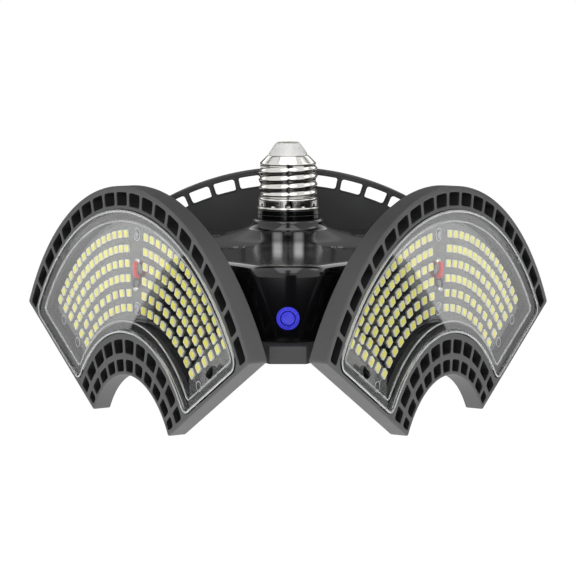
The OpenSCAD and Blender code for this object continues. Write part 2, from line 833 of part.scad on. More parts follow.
module push_button() {
    color("#2a2aff") from_front() rotate_extrude($fn = 64) polygon([
        [0, stem_back], [stem_r, stem_back], [stem_r, shoulder_back],
        [shoulder_r, shoulder_back], [shoulder_r, shoulder_front],
        [cap_r, shoulder_front], [cap_r, cap_front - 0.4], [cap_r - 0.4, cap_front], [0, cap_front]]);
}

module tact_switch() {
    color("#222222") from_front() difference() {
        translate([-switch_size / 2, -switch_size / 2, switch_back])
            cube([switch_size, switch_size, switch_depth]);
        translate([0, 0, stem_back - button_travel - 0.3])
            cylinder(r = stem_r + switch_bore_gap, h = switch_depth, $fn = 48);
    }
}

module switch_board() {
    color("darkgreen") from_plate()
    translate([-switch_board_w / 2, -switch_back, switch_board_bottom])
    cube([switch_board_w, switch_board_t, switch_board_h]);
}

// Screw base

module centre_contact() {
    top = shoulder_z + shoulder_h + insulator_h;
    color("goldenrod") from_shell() {
        translate([0, 0, top - 1]) cylinder(r = contact_r, h = 0.9);
        translate([0, 0, live_top - shell_z]) cylinder(r = 1.2, h = top - 1 - live_top + shell_z + eps, $fn = 32);
    }
}

module base_insulator() {
    base = shoulder_z + shoulder_h;
    color("ivory") from_shell() rotate_extrude() polygon([
        [1.25, base - 2], [mouth_r - shell_wall - 0.3, base - 2],
        [mouth_r - shell_wall - 0.3, base], [mouth_r, base],
        [insulator_top_r, base + insulator_h], [contact_r + 0.1, base + insulator_h],
        [contact_r + 0.1, base + insulator_h - 1], [1.25, base + insulator_h - 1]]);
}

// Radius of the thread at height h and angle a: a rolled wave that fades out at both ends
function thread_r(h, a) =
    let (fade = min(1, (h - root_low) / thread_fade, (root_high - h) / thread_fade))
    root_r + (crest_r - root_r) * max(0, fade) * (0.5 + 0.5 * cos(360 * h / thread_pitch - a));

function quad(a, b, c, d) = [[a, b, c], [a, c, d]];

module thread() {
    n = thread_sides;
    bore = root_r - shell_wall;
    outer = [for (k = [0 : thread_rings], i = [0 : n - 1])
        let (a = 360 * i / n, h = root_low + (root_high - root_low) * k / thread_rings,
            r = thread_r(h, a))
        [r * cos(a), r * sin(a), h]];
    inner = [for (h = [root_low, root_high], i = [0 : n - 1])
        [bore * cos(360 * i / n), bore * sin(360 * i / n), h]];
    first = len(outer);
    top = thread_rings * n;
    faces = [for (i = [0 : n - 1]) let (j = (i + 1) % n) each concat(
        [for (k = [0 : thread_rings - 1])
            each quad(k * n + i, (k + 1) * n + i, (k + 1) * n + j, k * n + j)],
        quad(first + i, first + j, first + n + j, first + n + i),
        quad(i, j, first + j, first + i),
        quad(top + i, first + n + i, first + n + j, top + j))];
    polyhedron(concat(outer, inner), faces);
}

module screw_shell() {
    mid_r = root_r - shell_wall / 2;
    color("silver") from_shell() {
        rotate_extrude() polygon([
            [skirt_r - shell_wall, 0], [shell_rim_r, 0], [shell_rim_r, shell_rim_h],
            [skirt_r, shell_rim_h], [skirt_r, skirt_top], [root_r - joint_step, root_low],
            [mid_r, root_low + joint_depth], [root_r - shell_wall + joint_step, root_low],
            [skirt_r - shell_wall, skirt_top]]);
        rotate_extrude() polygon([
            [root_r - joint_step, root_high], [cone_r, shoulder_z],
            [mouth_r, shoulder_z + shoulder_h], [mouth_r - shell_wall, shoulder_z + shoulder_h],
            [cone_r - 1.5 * shell_wall, shoulder_z],
            [root_r - shell_wall + joint_step, root_high], [mid_r, root_high - joint_depth]]);
        thread();
    }
}

module neck_collar() {
    color("#0c0c0e") from_plate() rotate_extrude() polygon([
        [passage_r, neck_z - collar_tail], [tail_r, neck_z - collar_tail],
        [tail_r, neck_z], [collar_r, neck_z], [collar_r, shell_z], [spigot_r, shell_z],
        [spigot_r, shell_z + spigot_h], [passage_r, shell_z + spigot_h]]);
}

// Driver inside the hub

module driver_board() {
    color("darkgreen") from_plate() translate([0, 0, driver_z]) difference() {
        translate([-driver_l / 2, -driver_w / 2, 0]) cube([driver_l, driver_w, driver_t]);
        for (x = [-post_x, post_x], y = [-post_y, post_y]) translate([x, y, -1])
            cylinder(r = driver_screw_r + screw_play, h = driver_t + 2, $fn = 32);
    }
}

module driver_board_screws() {
    color("silver") from_plate() for (x = [-post_x, post_x], y = [-post_y, post_y])
    translate([x, y, driver_top]) {
        cylinder(r = driver_head_r, h = driver_head_h, $fn = 32);
        translate([0, 0, -driver_t - 4]) cylinder(r = driver_screw_r, h = driver_t + 4 + eps, $fn = 32);
    }
}

// Parts that stand on the driver board, placed from its middle
module on_driver(x, y) {
    from_plate() translate([x, y, driver_top]) children();
}

module driver_capacitors() {
    color("black") for (y = [-can_y, can_y]) on_driver(-driver_l / 3, y) cylinder(r = can_r, h = can_h);
}

module choke_coil() {
    color("darkorange") on_driver(driver_l / 3, can_y) ring(choke_r, choke_bore_r, choke_h);
}

// Block that stands on the board, centred in plan
module block(size) {
    translate([-size[0] / 2, -size[1] / 2, 0]) cube(size);
}

module bridge_rectifier() {
    color("black") on_driver(bridge_size[0] / 2, -driver_w / 3) block(bridge_size);
}

module driver_chips() {
    color("black") for (x = chip_xs) on_driver(x, chip_y) block(chip_size);
}

module glass_fuse() {
    color("lightgray") on_driver(fuse_x, -driver_w / 3) cylinder(r = fuse_r, h = fuse_h, $fn = 48);
}

module terminal_block() {
    color("limegreen") on_driver(driver_l / 3, terminal_y) difference() {
        block(terminal_size);
        for (i = [-1 : 1]) translate([i * terminal_pitch, 0, terminal_floor])
            cylinder(r = terminal_hole_r, h = terminal_size[2], $fn = 32);
    }
}

module live_lead() {
    color("saddlebrown") from_plate() translate([0, 0, driver_top])
        cylinder(r = lead_r, h = live_top - driver_top, $fn = 32);
}

module neutral_lead() {
    reach = root_r - shell_wall - 0.08;
    color("royalblue") from_plate() {
        translate([neutral_r, 0, driver_top]) cylinder(r = lead_r, h = neutral_top - driver_top, $fn = 32);
        translate([neutral_r, 0, neutral_top]) sphere(r = lead_r, $fn = 32);
        translate([neutral_r, 0, neutral_top]) rotate([0, 90, 0])
            cylinder(r = lead_r / 2, h = reach - neutral_r, $fn = 32);
    }
}

centre_contact();
base_insulator();
screw_shell();
neck_collar();
hub_cover();
cover_screws();
button_bezel();
push_button();
tact_switch();
switch_board();
base_plate();
hinge_brackets();
bracket_screws();
hinge_pins();
pin_clips();
driver_board();
driver_board_screws();
driver_capacitors();
choke_coil();
bridge_rectifier();
driver_chips();
glass_fuse();
terminal_block();
live_lead();
neutral_lead();
panel_frame(left_side);  // left_frame
panel_led_board(left_side);  // left_led_board
panel_leds(left_side);  // left_leds
panel_lens(left_side);  // left_lens
panel_gasket(left_side);  // left_gasket
panel_board_screws(left_side);  // left_board_screws
panel_red_lead(left_side);  // left_red_lead
panel_black_lead(left_side);  // left_black_lead
panel_solder_joints(left_side);  // left_solder_joints
panel_board_capacitor(left_side);  // left_board_capacitor
panel_hinge_washers(left_side);  // left_hinge_washers
panel_frame(right_side);  // right_frame
panel_led_board(right_side);  // right_led_board
panel_leds(right_side);  // right_leds
panel_lens(right_side);  // right_lens
panel_gasket(right_side);  // right_gasket
panel_board_screws(right_side);  // right_board_screws
panel_red_lead(right_side);  // right_red_lead
panel_black_lead(right_side);  // right_black_lead
panel_solder_joints(right_side);  // right_solder_joints
panel_board_capacitor(right_side);  // right_board_capacitor
panel_hinge_washers(right_side);  // right_hinge_washers
panel_frame(back_side);  // back_frame
panel_led_board(back_side);  // back_led_board
panel_leds(back_side);  // back_leds
panel_lens(back_side);  // back_lens
panel_gasket(back_side);  // back_gasket
panel_board_screws(back_side);  // back_board_screws
panel_red_lead(back_side);  // back_red_lead
panel_black_lead(back_side);  // back_black_lead
panel_solder_joints(back_side);  // back_solder_joints
panel_board_capacitor(back_side);  // back_board_capacitor
panel_hinge_washers(back_side);  // back_hinge_washers
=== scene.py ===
"""Looks of a garage light with a screw base, a three-sided hub and three folding LED panels.

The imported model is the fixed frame. Shapes are built in millimetres, and each mesh is scaled to
metres and set in its place when its piece is finished.
"""

import json
import logging
import math
from dataclasses import dataclass
from enum import Enum
from typing import Callable, Sequence

import bmesh
import bpy
from bmesh.types import BMEdge, BMesh, BMVert
from bpy.types import Material, Mesh, Node, NodeSocket, NodeTree, Object, World
from mathutils import Matrix, Vector


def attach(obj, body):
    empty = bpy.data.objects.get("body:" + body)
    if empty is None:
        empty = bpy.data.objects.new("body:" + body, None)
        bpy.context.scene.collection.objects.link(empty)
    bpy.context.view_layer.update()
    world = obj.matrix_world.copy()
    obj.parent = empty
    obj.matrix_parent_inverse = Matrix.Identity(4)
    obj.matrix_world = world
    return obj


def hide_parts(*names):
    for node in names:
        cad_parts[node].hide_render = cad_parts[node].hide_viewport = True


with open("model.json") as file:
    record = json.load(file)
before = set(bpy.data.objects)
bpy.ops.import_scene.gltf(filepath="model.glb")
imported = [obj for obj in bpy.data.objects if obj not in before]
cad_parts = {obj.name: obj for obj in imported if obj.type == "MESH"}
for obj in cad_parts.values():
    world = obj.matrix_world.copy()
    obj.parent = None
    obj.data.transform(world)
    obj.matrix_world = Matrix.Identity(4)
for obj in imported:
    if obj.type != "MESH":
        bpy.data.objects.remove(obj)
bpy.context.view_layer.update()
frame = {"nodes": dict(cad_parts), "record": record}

MM = 0.001
# Height of the base plate's underside in the frame
PLATE_Z = -53.3
# Height of the button's axis above that underside
BUTTON_Z = 16.8
# Height of the screw shell's lower edge in the frame
SHELL_Z = -2.8
# Place of the camera in metres, its tilt in degrees and its focal length in millimetres
CAMERA_AT = (0.0, -1.0113, 0.0877)
CAMERA_TILT = 82.88
CAMERA_LENS = 142.1

Points = Sequence[Vector]
Ring = Sequence[BMVert]
# Radius and height of each point of a turned shape
Profile = Sequence[tuple[float, float]]

log = logging.getLogger("garage_light")


class Side(Enum):
    """The three panels, by the direction in which each one faces, in degrees from X."""

    BACK = 90
    LEFT = 210
    RIGHT = 330


class Rays(Enum):
    """The rays that may see a studio card."""

    CAMERA = "visible_camera"
    DIFFUSE = "visible_diffuse"
    GLOSSY = "visible_glossy"
    TRANSMISSION = "visible_transmission"
    SHADOW = "visible_shadow"


# Colours and materials


def linear(code: str) -> tuple[float, float, float]:
    """Turns an sRGB hex colour into linear red, green and blue."""
    values = [int(code[i:i + 2], 16) / 255 for i in (1, 3, 5)]
    return tuple(v / 12.92 if v <= 0.04045 else ((v + 0.055) / 1.055) ** 2.4 for v in values)


def set_inputs(node: Node, inputs: dict) -> None:
    """Gives a node's inputs their values and links.

    Args:
        node: the node.
        inputs: values and output sockets, by the input's name or number.
    """
    for key, value in inputs.items():
        if isinstance(value, NodeSocket):
            node.id_data.links.new(value, node.inputs[key])
        else:
            node.inputs[key].default_value = value


def add_node(tree: NodeTree, kind: str, inputs: dict | None = None, **settings: object) -> Node:
    """Adds a node with its settings, values and links.

    Args:
        tree: node tree that gets the node.
        kind: Blender's name of the node type.
        inputs: values and output sockets for the node's inputs, by name or number.
        **settings: the node's own properties.

    Returns:
        The new node.
    """
    node = tree.nodes.new(kind)
    for name, value in settings.items():
        setattr(node, name, value)
    set_inputs(node, inputs or {})
    return node


def empty_tree(owner: Material | World) -> NodeTree:
    """Turns on the nodes of a material or of the world, and takes the ready-made ones away.

    Args:
        owner: the material or world.

    Returns:
        Its empty node tree.
    """
    owner.use_nodes = True
    owner.node_tree.nodes.clear()
    return owner.node_tree


@dataclass(frozen=True)
class Finish:
    """A surface: its colour and gloss, and the texture that its making leaves.

    Attributes:
        name: what the real material is.
        colour: sRGB hex colour.
        roughness: middle roughness.
        metallic: 1 for bare metal.
        ior: index of refraction.
        transmission: share of light that goes through.
        coat: weight of a clear glossy layer.
        shade_mm: size of the soft patches in colour and gloss.
        shade: how far the colour strays in them, as a share.
        gloss_spread: how far the roughness strays in them.
        grain_mm: size of the surface's grain.
        grain_height_mm: height of that grain.
        stretch: how much finer the texture is along X, Y and Z.
    """

    name: str
    colour: str
    roughness: float
    metallic: float = 0.0
    ior: float = 1.5
    transmission: float = 0.0
    coat: float = 0.0
    shade_mm: float = 14.0
    shade: float = 0.08
    gloss_spread: float = 0.05
    grain_mm: float = 0.8
    grain_height_mm: float = 0.01
    stretch: tuple[float, float, float] = (1.0, 1.0, 1.0)

    def build(self) -> Material:
        """Makes the material, whose patterns have real sizes on object coordinates.

        Returns:
            The material.
        """
        material = bpy.data.materials.new(self.name)
        material.use_nodes = True
        tree = material.node_tree
        coords = add_node(tree, "ShaderNodeTexCoord")
        place = add_node(tree, "ShaderNodeMapping", {
            "Vector": coords.outputs["Object"], "Scale": self.stretch})
        patches, grain = (
            add_node(tree, "ShaderNodeTexNoise", {
                "Vector": place.outputs["Vector"], "Scale": 1 / (size * MM), "Detail": detail,
                "Roughness": 0.5}).outputs["Fac"]
            for size, detail in ((self.shade_mm, 3.0), (self.grain_mm, 2.0)))
        tint = add_node(tree, "ShaderNodeValToRGB", {"Fac": patches})
        base = Vector(linear(self.colour))
        for element, position, share in zip(tint.color_ramp.elements, (0.32, 0.68), (-1, 1)):
            element.position = position
            element.color = (*(min(1.0, c * (1 + share * self.shade)) for c in base), 1.0)
        gloss = add_node(tree, "ShaderNodeMapRange", {
            "Value": patches, "From Min": 0.3, "From Max": 0.7,
            "To Min": max(0.0, self.roughness - self.gloss_spread),
            "To Max": self.roughness + self.gloss_spread})
        bump = add_node(tree, "ShaderNodeBump", {
            "Height": grain, "Strength": 1.0, "Distance": self.grain_height_mm * MM})
        set_inputs(tree.nodes["Principled BSDF"], {
            "Metallic": self.metallic, "IOR": self.ior, "Transmission Weight": self.transmission,
            "Coat Weight": self.coat, "Base Color": tint.outputs["Color"],
            "Roughness": gloss.outputs["Result"], "Normal": bump.outputs["Normal"]})
        return material


# Each finish stands under the name of its slot: the record's, or the scene's own for slot_wall_painted_shade,
# lens_bead, led_body and board_print.
FINISHES = {
    # Nickel plate over rolled brass: bright and mirror-like, with faint drawing marks round it
    "nickel_shell": Finish("nickel_plated_brass", "#d9d7d3", 0.14, metallic=1.0, shade_mm=5.0, shade=0.04,
                           gloss_spread=0.04, grain_mm=1.6, grain_height_mm=0.006, stretch=(1, 1, 5)),
    # Plain brass button, dulled by handling
    "brass_contact": Finish("brass", "#c9a75e", 0.3, metallic=1.0, shade_mm=2.0, shade=0.15,
                            gloss_spread=0.1, grain_mm=0.5),
    # Moulded polyester insulator: white with a soft shine
    "white_insulator": Finish("white_polyester", "#f3f3f1", 0.28, shade_mm=5.0, shade=0.04),
    # Injection-moulded ABS from a polished tool: deep black, high gloss, slightly wavy reflections
    "gloss_black": Finish("polished_abs", "#08080a", 0.12, ior=1.54, shade_mm=25.0, shade=0.2,
                          gloss_spread=0.02, grain_mm=14.0, grain_height_mm=0.003),
    # Moulded ABS with a spark-eroded texture: dark grey, satin
    "dark_grey_plate": Finish("textured_abs", "#363637", 0.46, ior=1.54, shade=0.07, grain_mm=0.5,
                              grain_height_mm=0.02),
    # Die-cast aluminium under powder coat: dark grey with a fine satin grain
    "dark_grey_frame": Finish("powder_coated_aluminium", "#464647", 0.5, ior=1.42, shade_mm=18.0,
                              shade=0.06, grain_mm=0.55, grain_height_mm=0.02),
    # Walls of the cooling slots: the frame's dark grey coat painted nearly black and matt, as painted shade
    # for the slots' dark insides
    "slot_wall_painted_shade": Finish("painted_slot_shade", "#0d0d0e", 0.75, shade=0.1, grain_mm=0.6),
    # Black solder resist on an aluminium board: smooth, so that it mirrors like lacquer, more
    # strongly for the copper under it
    "black_board": Finish("black_solder_resist", "#0e0e0f", 0.06, ior=1.9, coat=1.0, shade_mm=8.0,
                          shade=0.25, gloss_spread=0.03, grain_mm=6.0, grain_height_mm=0.0008),
    # Silicone filled with yellow phosphor: pale, soft and slightly glossy
    "led_phosphor": Finish("phosphor_silicone", "#fbf25c", 0.35, ior=1.41, shade_mm=1.2, shade=0.05,
                           grain_mm=0.25, grain_height_mm=0.006),
    # Clear moulded polycarbonate: smooth polished faces that reflect like glass
    "clear_lens": Finish("clear_polycarbonate", "#fbfcfc", 0.0, ior=1.585, transmission=1.0,
                         shade_mm=30.0, shade=0.01, gloss_spread=0.002, grain_mm=40.0,
                         grain_height_mm=0.0),
    # The lens's bead and rib: the same plastic from unpolished grooves of the tool, slightly frosted
    "lens_bead": Finish("frosted_polycarbonate", "#eef0f0", 0.22, ior=1.585, transmission=0.7,
                        shade_mm=20.0, shade=0.04, grain_mm=1.0),
    # Silicone rubber cord gasket: matt black
    "black_rubber": Finish("silicone_rubber", "#141414", 0.7, ior=1.41, shade=0.15, grain_mm=0.4),
    # Zinc-plated sheet steel: bluish grey with a fine cloudy spangle
    "zinc_steel": Finish("zinc_plated_steel", "#adb0b3", 0.32, metallic=1.0, shade_mm=2.5, shade=0.12,
                         gloss_spread=0.1, grain_mm=0.4, grain_height_mm=0.006),
    # Steel with black oxide: dark and oily
    "black_steel": Finish("black_oxide_steel", "#1b1b1c", 0.34, metallic=0.6, shade_mm=1.5, shade=0.2,
                          gloss_spread=0.08, grain_mm=0.3),
    # Moulded blue ABS: deep colour with a soft shine
    "blue_button": Finish("blue_abs", "#1f1fc4", 0.34, ior=1.54, shade_mm=3.0, shade=0.06,
                          grain_mm=0.4, grain_height_mm=0.006),
    # Glass-fibre board under green solder resist: satin
    "green_board": Finish("fibreglass_board", "#14532a", 0.35, shade_mm=4.0, shade=0.15, grain_mm=0.9),
    # Moulded epoxy of electronic parts: matt black
    "black_component": Finish("moulded_epoxy", "#0b0b0c", 0.8, ior=1.3, shade_mm=2.0, shade=0.15,
                              grain_mm=0.2),
    # Enamelled copper wire wound on a ring: upright ridges, about as wide as the wire
    "copper_coil": Finish("enamelled_copper", "#b8642a", 0.28, metallic=1.0, shade_mm=1.0, shade=0.25,
                          grain_mm=0.7, grain_height_mm=0.2, stretch=(1, 1, 0.2)),
    # Glazed ceramic fuse tube: off-white and glossy
    "fuse_body": Finish("glazed_ceramic", "#cfd0cc", 0.2, shade_mm=2.0, shade=0.06),
    # Moulded polyamide terminal block: plain green, satin
    "green_terminal": Finish("green_polyamide", "#1e7a34", 0.45, shade_mm=3.0),
    # Soft PVC insulation of the supply leads: even colour, dull shine
    "brown_lead": Finish("brown_pvc", "#5a3420", 0.4, shade_mm=2.0),
    "blue_lead": Finish("blue_pvc", "#2446a8", 0.4, shade_mm=2.0),
    # Silicone sleeve of the board's red lead: bright, slightly dusty
    "red_lead": Finish("red_silicone", "#ea2a20", 0.42, ior=1.41, shade_mm=2.0, shade=0.1),
    # PVC insulation of the board's black lead
    "black_lead": Finish("black_pvc", "#171717", 0.4, shade_mm=2.0, shade=0.1),
    # Solder: bright, a little clouded
    "solder": Finish("tin_solder", "#cfcfcc", 0.26, metallic=1.0, shade_mm=0.8, shade=0.1,
                     gloss_spread=0.1, grain_mm=0.6, grain_height_mm=0.02),
    # White polyamide body of an LED: satin
    "led_body": Finish("white_led_body", "#fbfbf7", 0.4, shade_mm=1.5, shade=0.05, grain_mm=0.3),
    # White ink printed on the board: matt, a little uneven
    "board_print": Finish("white_board_ink", "#d8d8d4", 0.5, shade_mm=1.0, shade=0.12, grain_mm=0.2),
}


class Materials:
    """Makes each material once, when a piece first asks for it."""

    def __init__(self) -> None:
        """Starts with no material made."""
        self.made: dict[str, Material] = {}

    def get(self, slot: str) -> Material:
        """Gives the material of a slot.

        Args:
            slot: the slot's name.

        Returns:
            Its material.
        """
        if slot not in self.made:
            self.made[slot] = FINISHES[slot].build()
        return self.made[slot]

    def dress_cad_nodes(self) -> None:
        """Gives every CAD node the material of its slot."""
        for part in frame["record"]["subparts"]:
            for holder in frame["nodes"][part["node"]].material_slots:
                holder.material = self.get(part["material_slot"])


MATERIALS = Materials()


# Places and outlines


def polar(radius: float, angle: float) -> Vector:
    """Point at a radius and an angle in degrees from Y towards X, as the panels measure it."""
    return Vector((radius * math.sin(math.radians(angle)), radius * math.cos(math.radians(angle)), 0.0))


def ray(radius: float, angle: float) -> Vector:
    """Point at a radius and an angle in degrees from X towards Y, as the hub measures it."""
    return Vector((radius * math.cos(math.radians(angle)), radius * math.sin(math.radians(angle)), 0.0))


def up(z: float) -> Vector:
    """Point on the Z axis."""
    return Vector((0.0, 0.0, z))


def shift(x: float, y: float, z: float) -> Matrix:
    """Placement at a point."""
    return Matrix.Translation((x, y, z))


def turn_by(angle: float, axis: str = "Z") -> Matrix:
    """Turn by an angle in degrees."""
    return Matrix.Rotation(math.radians(angle), 4, axis)


def steps(first: float, last: float, count: int) -> list[float]:
    """Even steps from one value to another, both included."""
    return [first + (last - first) * i / count for i in range(count + 1)]


def angle_at(radius: float, distance: float) -> float:
    """Angle from Y of a point that lies some distance from a panel's straight side."""
    return 60 - math.degrees(math.asin(distance / radius))


def at_height(points: Points, z: float) -> list[Vector]:
    """The same points at another height."""
    return [Vector((p.x, p.y, z)) for p in points]


def curve_point(start: Vector, bend: Vector, end: Vector, t: float) -> Vector:
    """Point at a share t of a curve that leaves start and reaches end on lines through bend."""
    return start * (1 - t) ** 2 + bend * 2 * t * (1 - t) + end * t ** 2


def rounded(path: Sequence[tuple[float, float, float]], count: int = 4) -> list[tuple[float, float]]:
    """Rounds the corners of a turned profile.

    Args:
        path: radius, height and rounding of each corner.
        count: segments in each rounding.

    Returns:
        Radius and height of each point of the rounded profile.
    """
    out: list[tuple[float, float]] = []
    for i, (x, y, size) in enumerate(path):
        if size == 0:
            out.append((x, y))
            continue
        here = Vector((x, y))
        before, after = (here + (Vector(path[k][:2]) - here).normalized() * size for k in (i - 1, i + 1))
        out += [tuple(curve_point(before, here, after, t)) for t in steps(0, 1, count)]
    return out


@dataclass(frozen=True)
class SectorOutline:
    """Ring sector with rounded corners, whose offsets all have the same number of points.

    Attributes:
        inner: inner radius.
        outer: outer radius.
        start: angle of the first straight side's direction, from Y.
        end: angle of the second one's.
        start_inset: distance of the first side inside that direction.
        end_inset: distance of the second one.
        corner: radius of the corners.
        corner_steps: segments in a corner.
        arc_steps: segments in each long arc.
    """

    inner: float
    outer: float
    start: float
    end: float
    start_inset: float
    end_inset: float
    corner: float
    corner_steps: int = 4
    arc_steps: int = 3

    def corner_angle(self, radius: float, at_end: bool) -> float:
        """Angle of a corner's centre, which lies at a radius beside one of the straight sides.

        Args:
            radius: radius of the centre.
            at_end: whether it is beside the second side.

        Returns:
            The angle from Y.
        """
        inset = (self.end_inset if at_end else self.start_inset) + self.corner
        lean = math.degrees(math.asin(inset / radius))
        return self.end - lean if at_end else self.start + lean

    def points(self, grow: float = 0.0, z: float = 0.0) -> list[Vector]:
        """Points of the outline, offset outwards.

        Args:
            grow: offset, negative inwards and no further than the corners' radius.
            z: height of the points.

        Returns:
            The closed outline.
        """
        high, low = self.outer - self.corner, self.inner + self.corner
        a, b = self.corner_angle(high, False), self.corner_angle(high, True)
        c, d = self.corner_angle(low, True), self.corner_angle(low, False)
        out = self.bend(high, a, grow, self.start - 90, a)
        out += self.arc(self.outer + grow, a, b)
        out += self.bend(high, b, grow, b, self.end + 90)
        out += self.bend(low, c, grow, self.end + 90, c + 180)
        out += self.arc(self.inner - grow, c, d)
        out += self.bend(low, d, grow, d + 180, self.start + 270)
        return at_height(out, z)

    def bend(self, radius: float, angle: float, grow: float, first: float, last: float) -> list[Vector]:
        """Points of one corner, whose directions run from first to last."""
        centre = polar(radius, angle)
        return [centre + polar(self.corner + grow, t) for t in steps(first, last, self.corner_steps)]

    def arc(self, radius: float, first: float, last: float) -> list[Vector]:
        """Inner points of one long arc."""
        return [polar(radius, t) for t in steps(first, last, self.arc_steps)[1:-1]]


@dataclass(frozen=True)
class HubOutline:
    """Plan of the hub: three flat sides that meet in rounded corners.

    Attributes:
        side: distance of the flat sides from the axis.
        corner: distance of the corners' tips from the axis.
        fillet: radius of the corners.
        fillet_steps: segments in each half of a corner.
        side_steps: segments along a flat side.
    """

    side: float
    corner: float
    fillet: float
    fillet_steps: int = 20
    side_steps: int = 40

    def points(self, grow: float = 0.0, z: float = 0.0) -> list[Vector]:
        """Points of the outline, offset outwards.

        Args:
            grow: offset, negative inwards.
            z: height of the points.

        Returns:
            The closed outline.
        """
        side, corner, fillet = (size + grow for size in (self.side, self.corner, self.fillet))
        spread = math.degrees(math.acos((side - fillet) / (corner - fillet)))
        out: list[Vector] = []
        for ridge in (30, 150, 270):
            first, last, following = ridge - 60 + spread, ridge + 60 - spread, ridge + 60 + spread
            for middle, start, end in ((first, ridge - 60, first), (last, last, ridge + 60)):
                centre = ray(corner - fillet, middle)
                out += [centre + ray(fillet, t) for t in steps(start, end, self.fillet_steps)]
            corner_end, side_end = out[-1], ray(corner - fillet, following) + ray(fillet, ridge + 60)
            out += [corner_end.lerp(side_end, t) for t in steps(0, 1, self.side_steps)[1:-1]]
        return at_height(out, z)


# Mesh helpers


def ring_edges(bm: BMesh, ring: Ring) -> list[BMEdge]:
    """The edges round a closed ring of vertices."""
    return [bm.edges.get((a, b)) for a, b in zip(ring, [*ring[1:], ring[0]])]


def start_ring(bm: BMesh, points: Points) -> Ring:
    """Starts a closed ring of vertices.

    Args:
        bm: mesh in the making.
        points: where its vertices go.

    Returns:
        The ring.
    """
    ring = [bm.verts.new(p) for p in points]
    for a, b in zip(ring, [*ring[1:], ring[0]]):
        bm.edges.new((a, b))
    return ring


def extrude_ring(bm: BMesh, ring: Ring, points: Points) -> Ring:
    """Extrudes a ring into a band of faces.

    Args:
        bm: mesh in the making.
        ring: ring to extrude.
        points: where the new ring goes.

    Returns:
        The new ring, in the same order.
    """
    made = bmesh.ops.extrude_edge_only(bm, edges=ring_edges(bm, ring))["geom"]
    fresh = {v for v in made if isinstance(v, BMVert)}
    following = [next(o for o in (e.other_vert(v) for e in v.link_edges) if o in fresh) for v in ring]
    for vert, point in zip(following, points):
        vert.co = point
    return following


def extrude_rings(bm: BMesh, ring: Ring, rows: Sequence[Points]) -> Ring:
    """Extrudes a ring through one row of points after the other.

    Args:
        bm: mesh in the making.
        ring: ring to extrude.
        rows: where the new rings go.

    Returns:
        The last ring.
    """
    for points in rows:
        ring = extrude_ring(bm, ring, points)
    return ring


def fill_rings(bm: BMesh, rings: Sequence[Ring]) -> None:
    """Fills the flat face between an outer ring and the rings of its holes."""
    edges = [e for ring in rings for e in ring_edges(bm, ring)]
    bmesh.ops.triangle_fill(bm, use_beauty=True, use_dissolve=False, edges=edges)


def to_mesh(bm: BMesh, name: str = "shape") -> Mesh:
    """Turns a bmesh into a mesh with its faces pointing outwards.

    Args:
        bm: the bmesh, which is freed.
        name: the mesh's name.

    Returns:
        The mesh.
    """
    bmesh.ops.recalc_face_normals(bm, faces=bm.faces)
    mesh = bpy.data.meshes.new(name)
    bm.to_mesh(mesh)
    bm.free()
    return mesh


def hollow(rows: Sequence[Points]) -> Mesh:
    """A shape whose wall runs from ring to ring and back to the first one.

    Args:
        rows: points of each ring.

    Returns:
        The closed wall.
    """
    bm = bmesh.new()
    first = start_ring(bm, rows[0])
    last = extrude_rings(bm, first, rows[1:])
    bmesh.ops.bridge_loops(bm, edges=ring_edges(bm, last) + ring_edges(bm, first))
    return to_mesh(bm)


def turned(profile: Profile, count: int = 64) -> Mesh:
    """Turns a profile about Z into a closed shape.

    Args:
        profile: radius and height of its points.
        count: segments round the shape.

    Returns:
        The turned shape.
    """
    bm = bmesh.new()
    verts = [bm.verts.new((r, 0.0, z)) for r, z in profile]
    edges = [bm.edges.new(pair) for pair in zip(verts, verts[1:])]
    if profile[0][0] > 0:
        edges.append(bm.edges.new((verts[-1], verts[0])))
    bmesh.ops.spin(bm, geom=verts + edges, cent=(0, 0, 0), axis=(0, 0, 1), angle=math.tau, steps=count,
                   use_merge=True, use_duplicate=False)
    bmesh.ops.remove_doubles(bm, verts=bm.verts, dist=1e-4)
    return to_mesh(bm)


def box(bm: BMesh, low: Sequence[float], high: Sequence[float]) -> None:
    """Adds a block.

    Args:
        bm: mesh in the making.
        low: its lowest corner.
        high: its highest corner.
    """
    low, high = Vector(low), Vector(high)
    bmesh.ops.create_cube(bm, size=1.0, matrix=Matrix.Translation((low + high) / 2)
                          @ Matrix.Diagonal((*(high - low), 1.0)))


def stamp(bm: BMesh, source: Mesh, places: Sequence[Matrix]) -> None:
    """Adds a copy of a mesh at each place.

    Args:
        bm: mesh in the making.
        source: mesh to copy.
        places: placements of the copies.
    """
    for place in places:
        before = set(bm.verts)
        bm.from_mesh(source)
        bmesh.ops.transform(bm, matrix=place, verts=[v for v in bm.verts if v not in before])


def stamped(source: Mesh, places: Sequence[Matrix]) -> Mesh:
    """Makes a mesh of copies of another one.

    Args:
        source: mesh to copy.
        places: placements of the copies.

    Returns:
        The copies as one mesh.
    """
    bm = bmesh.new()
    stamp(bm, source, places)
    return to_mesh(bm)


def put_in_scene(name: str, data: bpy.types.ID) -> Object:
    """Makes an object and links it to the scene.

    Args:
        name: the object's name.
        data: its mesh, light or camera.

    Returns:
        The object.
    """
    made = bpy.data.objects.new(name, data)
    bpy.context.scene.collection.objects.link(made)
    return made


def cut(body: Mesh, cutter: Mesh) -> Mesh:
    """Cuts one mesh out of another.

    Args:
        body: mesh that is cut.
        cutter: closed mesh that is taken away.

    Returns:
        The mesh that is left.
    """
    holders = [put_in_scene(m.name, m) for m in (body, cutter)]
    modifier = holders[0].modifiers.new("cut", "BOOLEAN")
    modifier.operation = "DIFFERENCE"
    modifier.solver = "EXACT"
    modifier.object = holders[1]
    graph = bpy.context.evaluated_depsgraph_get()
    left = bpy.data.meshes.new_from_object(holders[0].evaluated_get(graph))
    for holder in holders:
        bpy.data.objects.remove(holder)
    return left


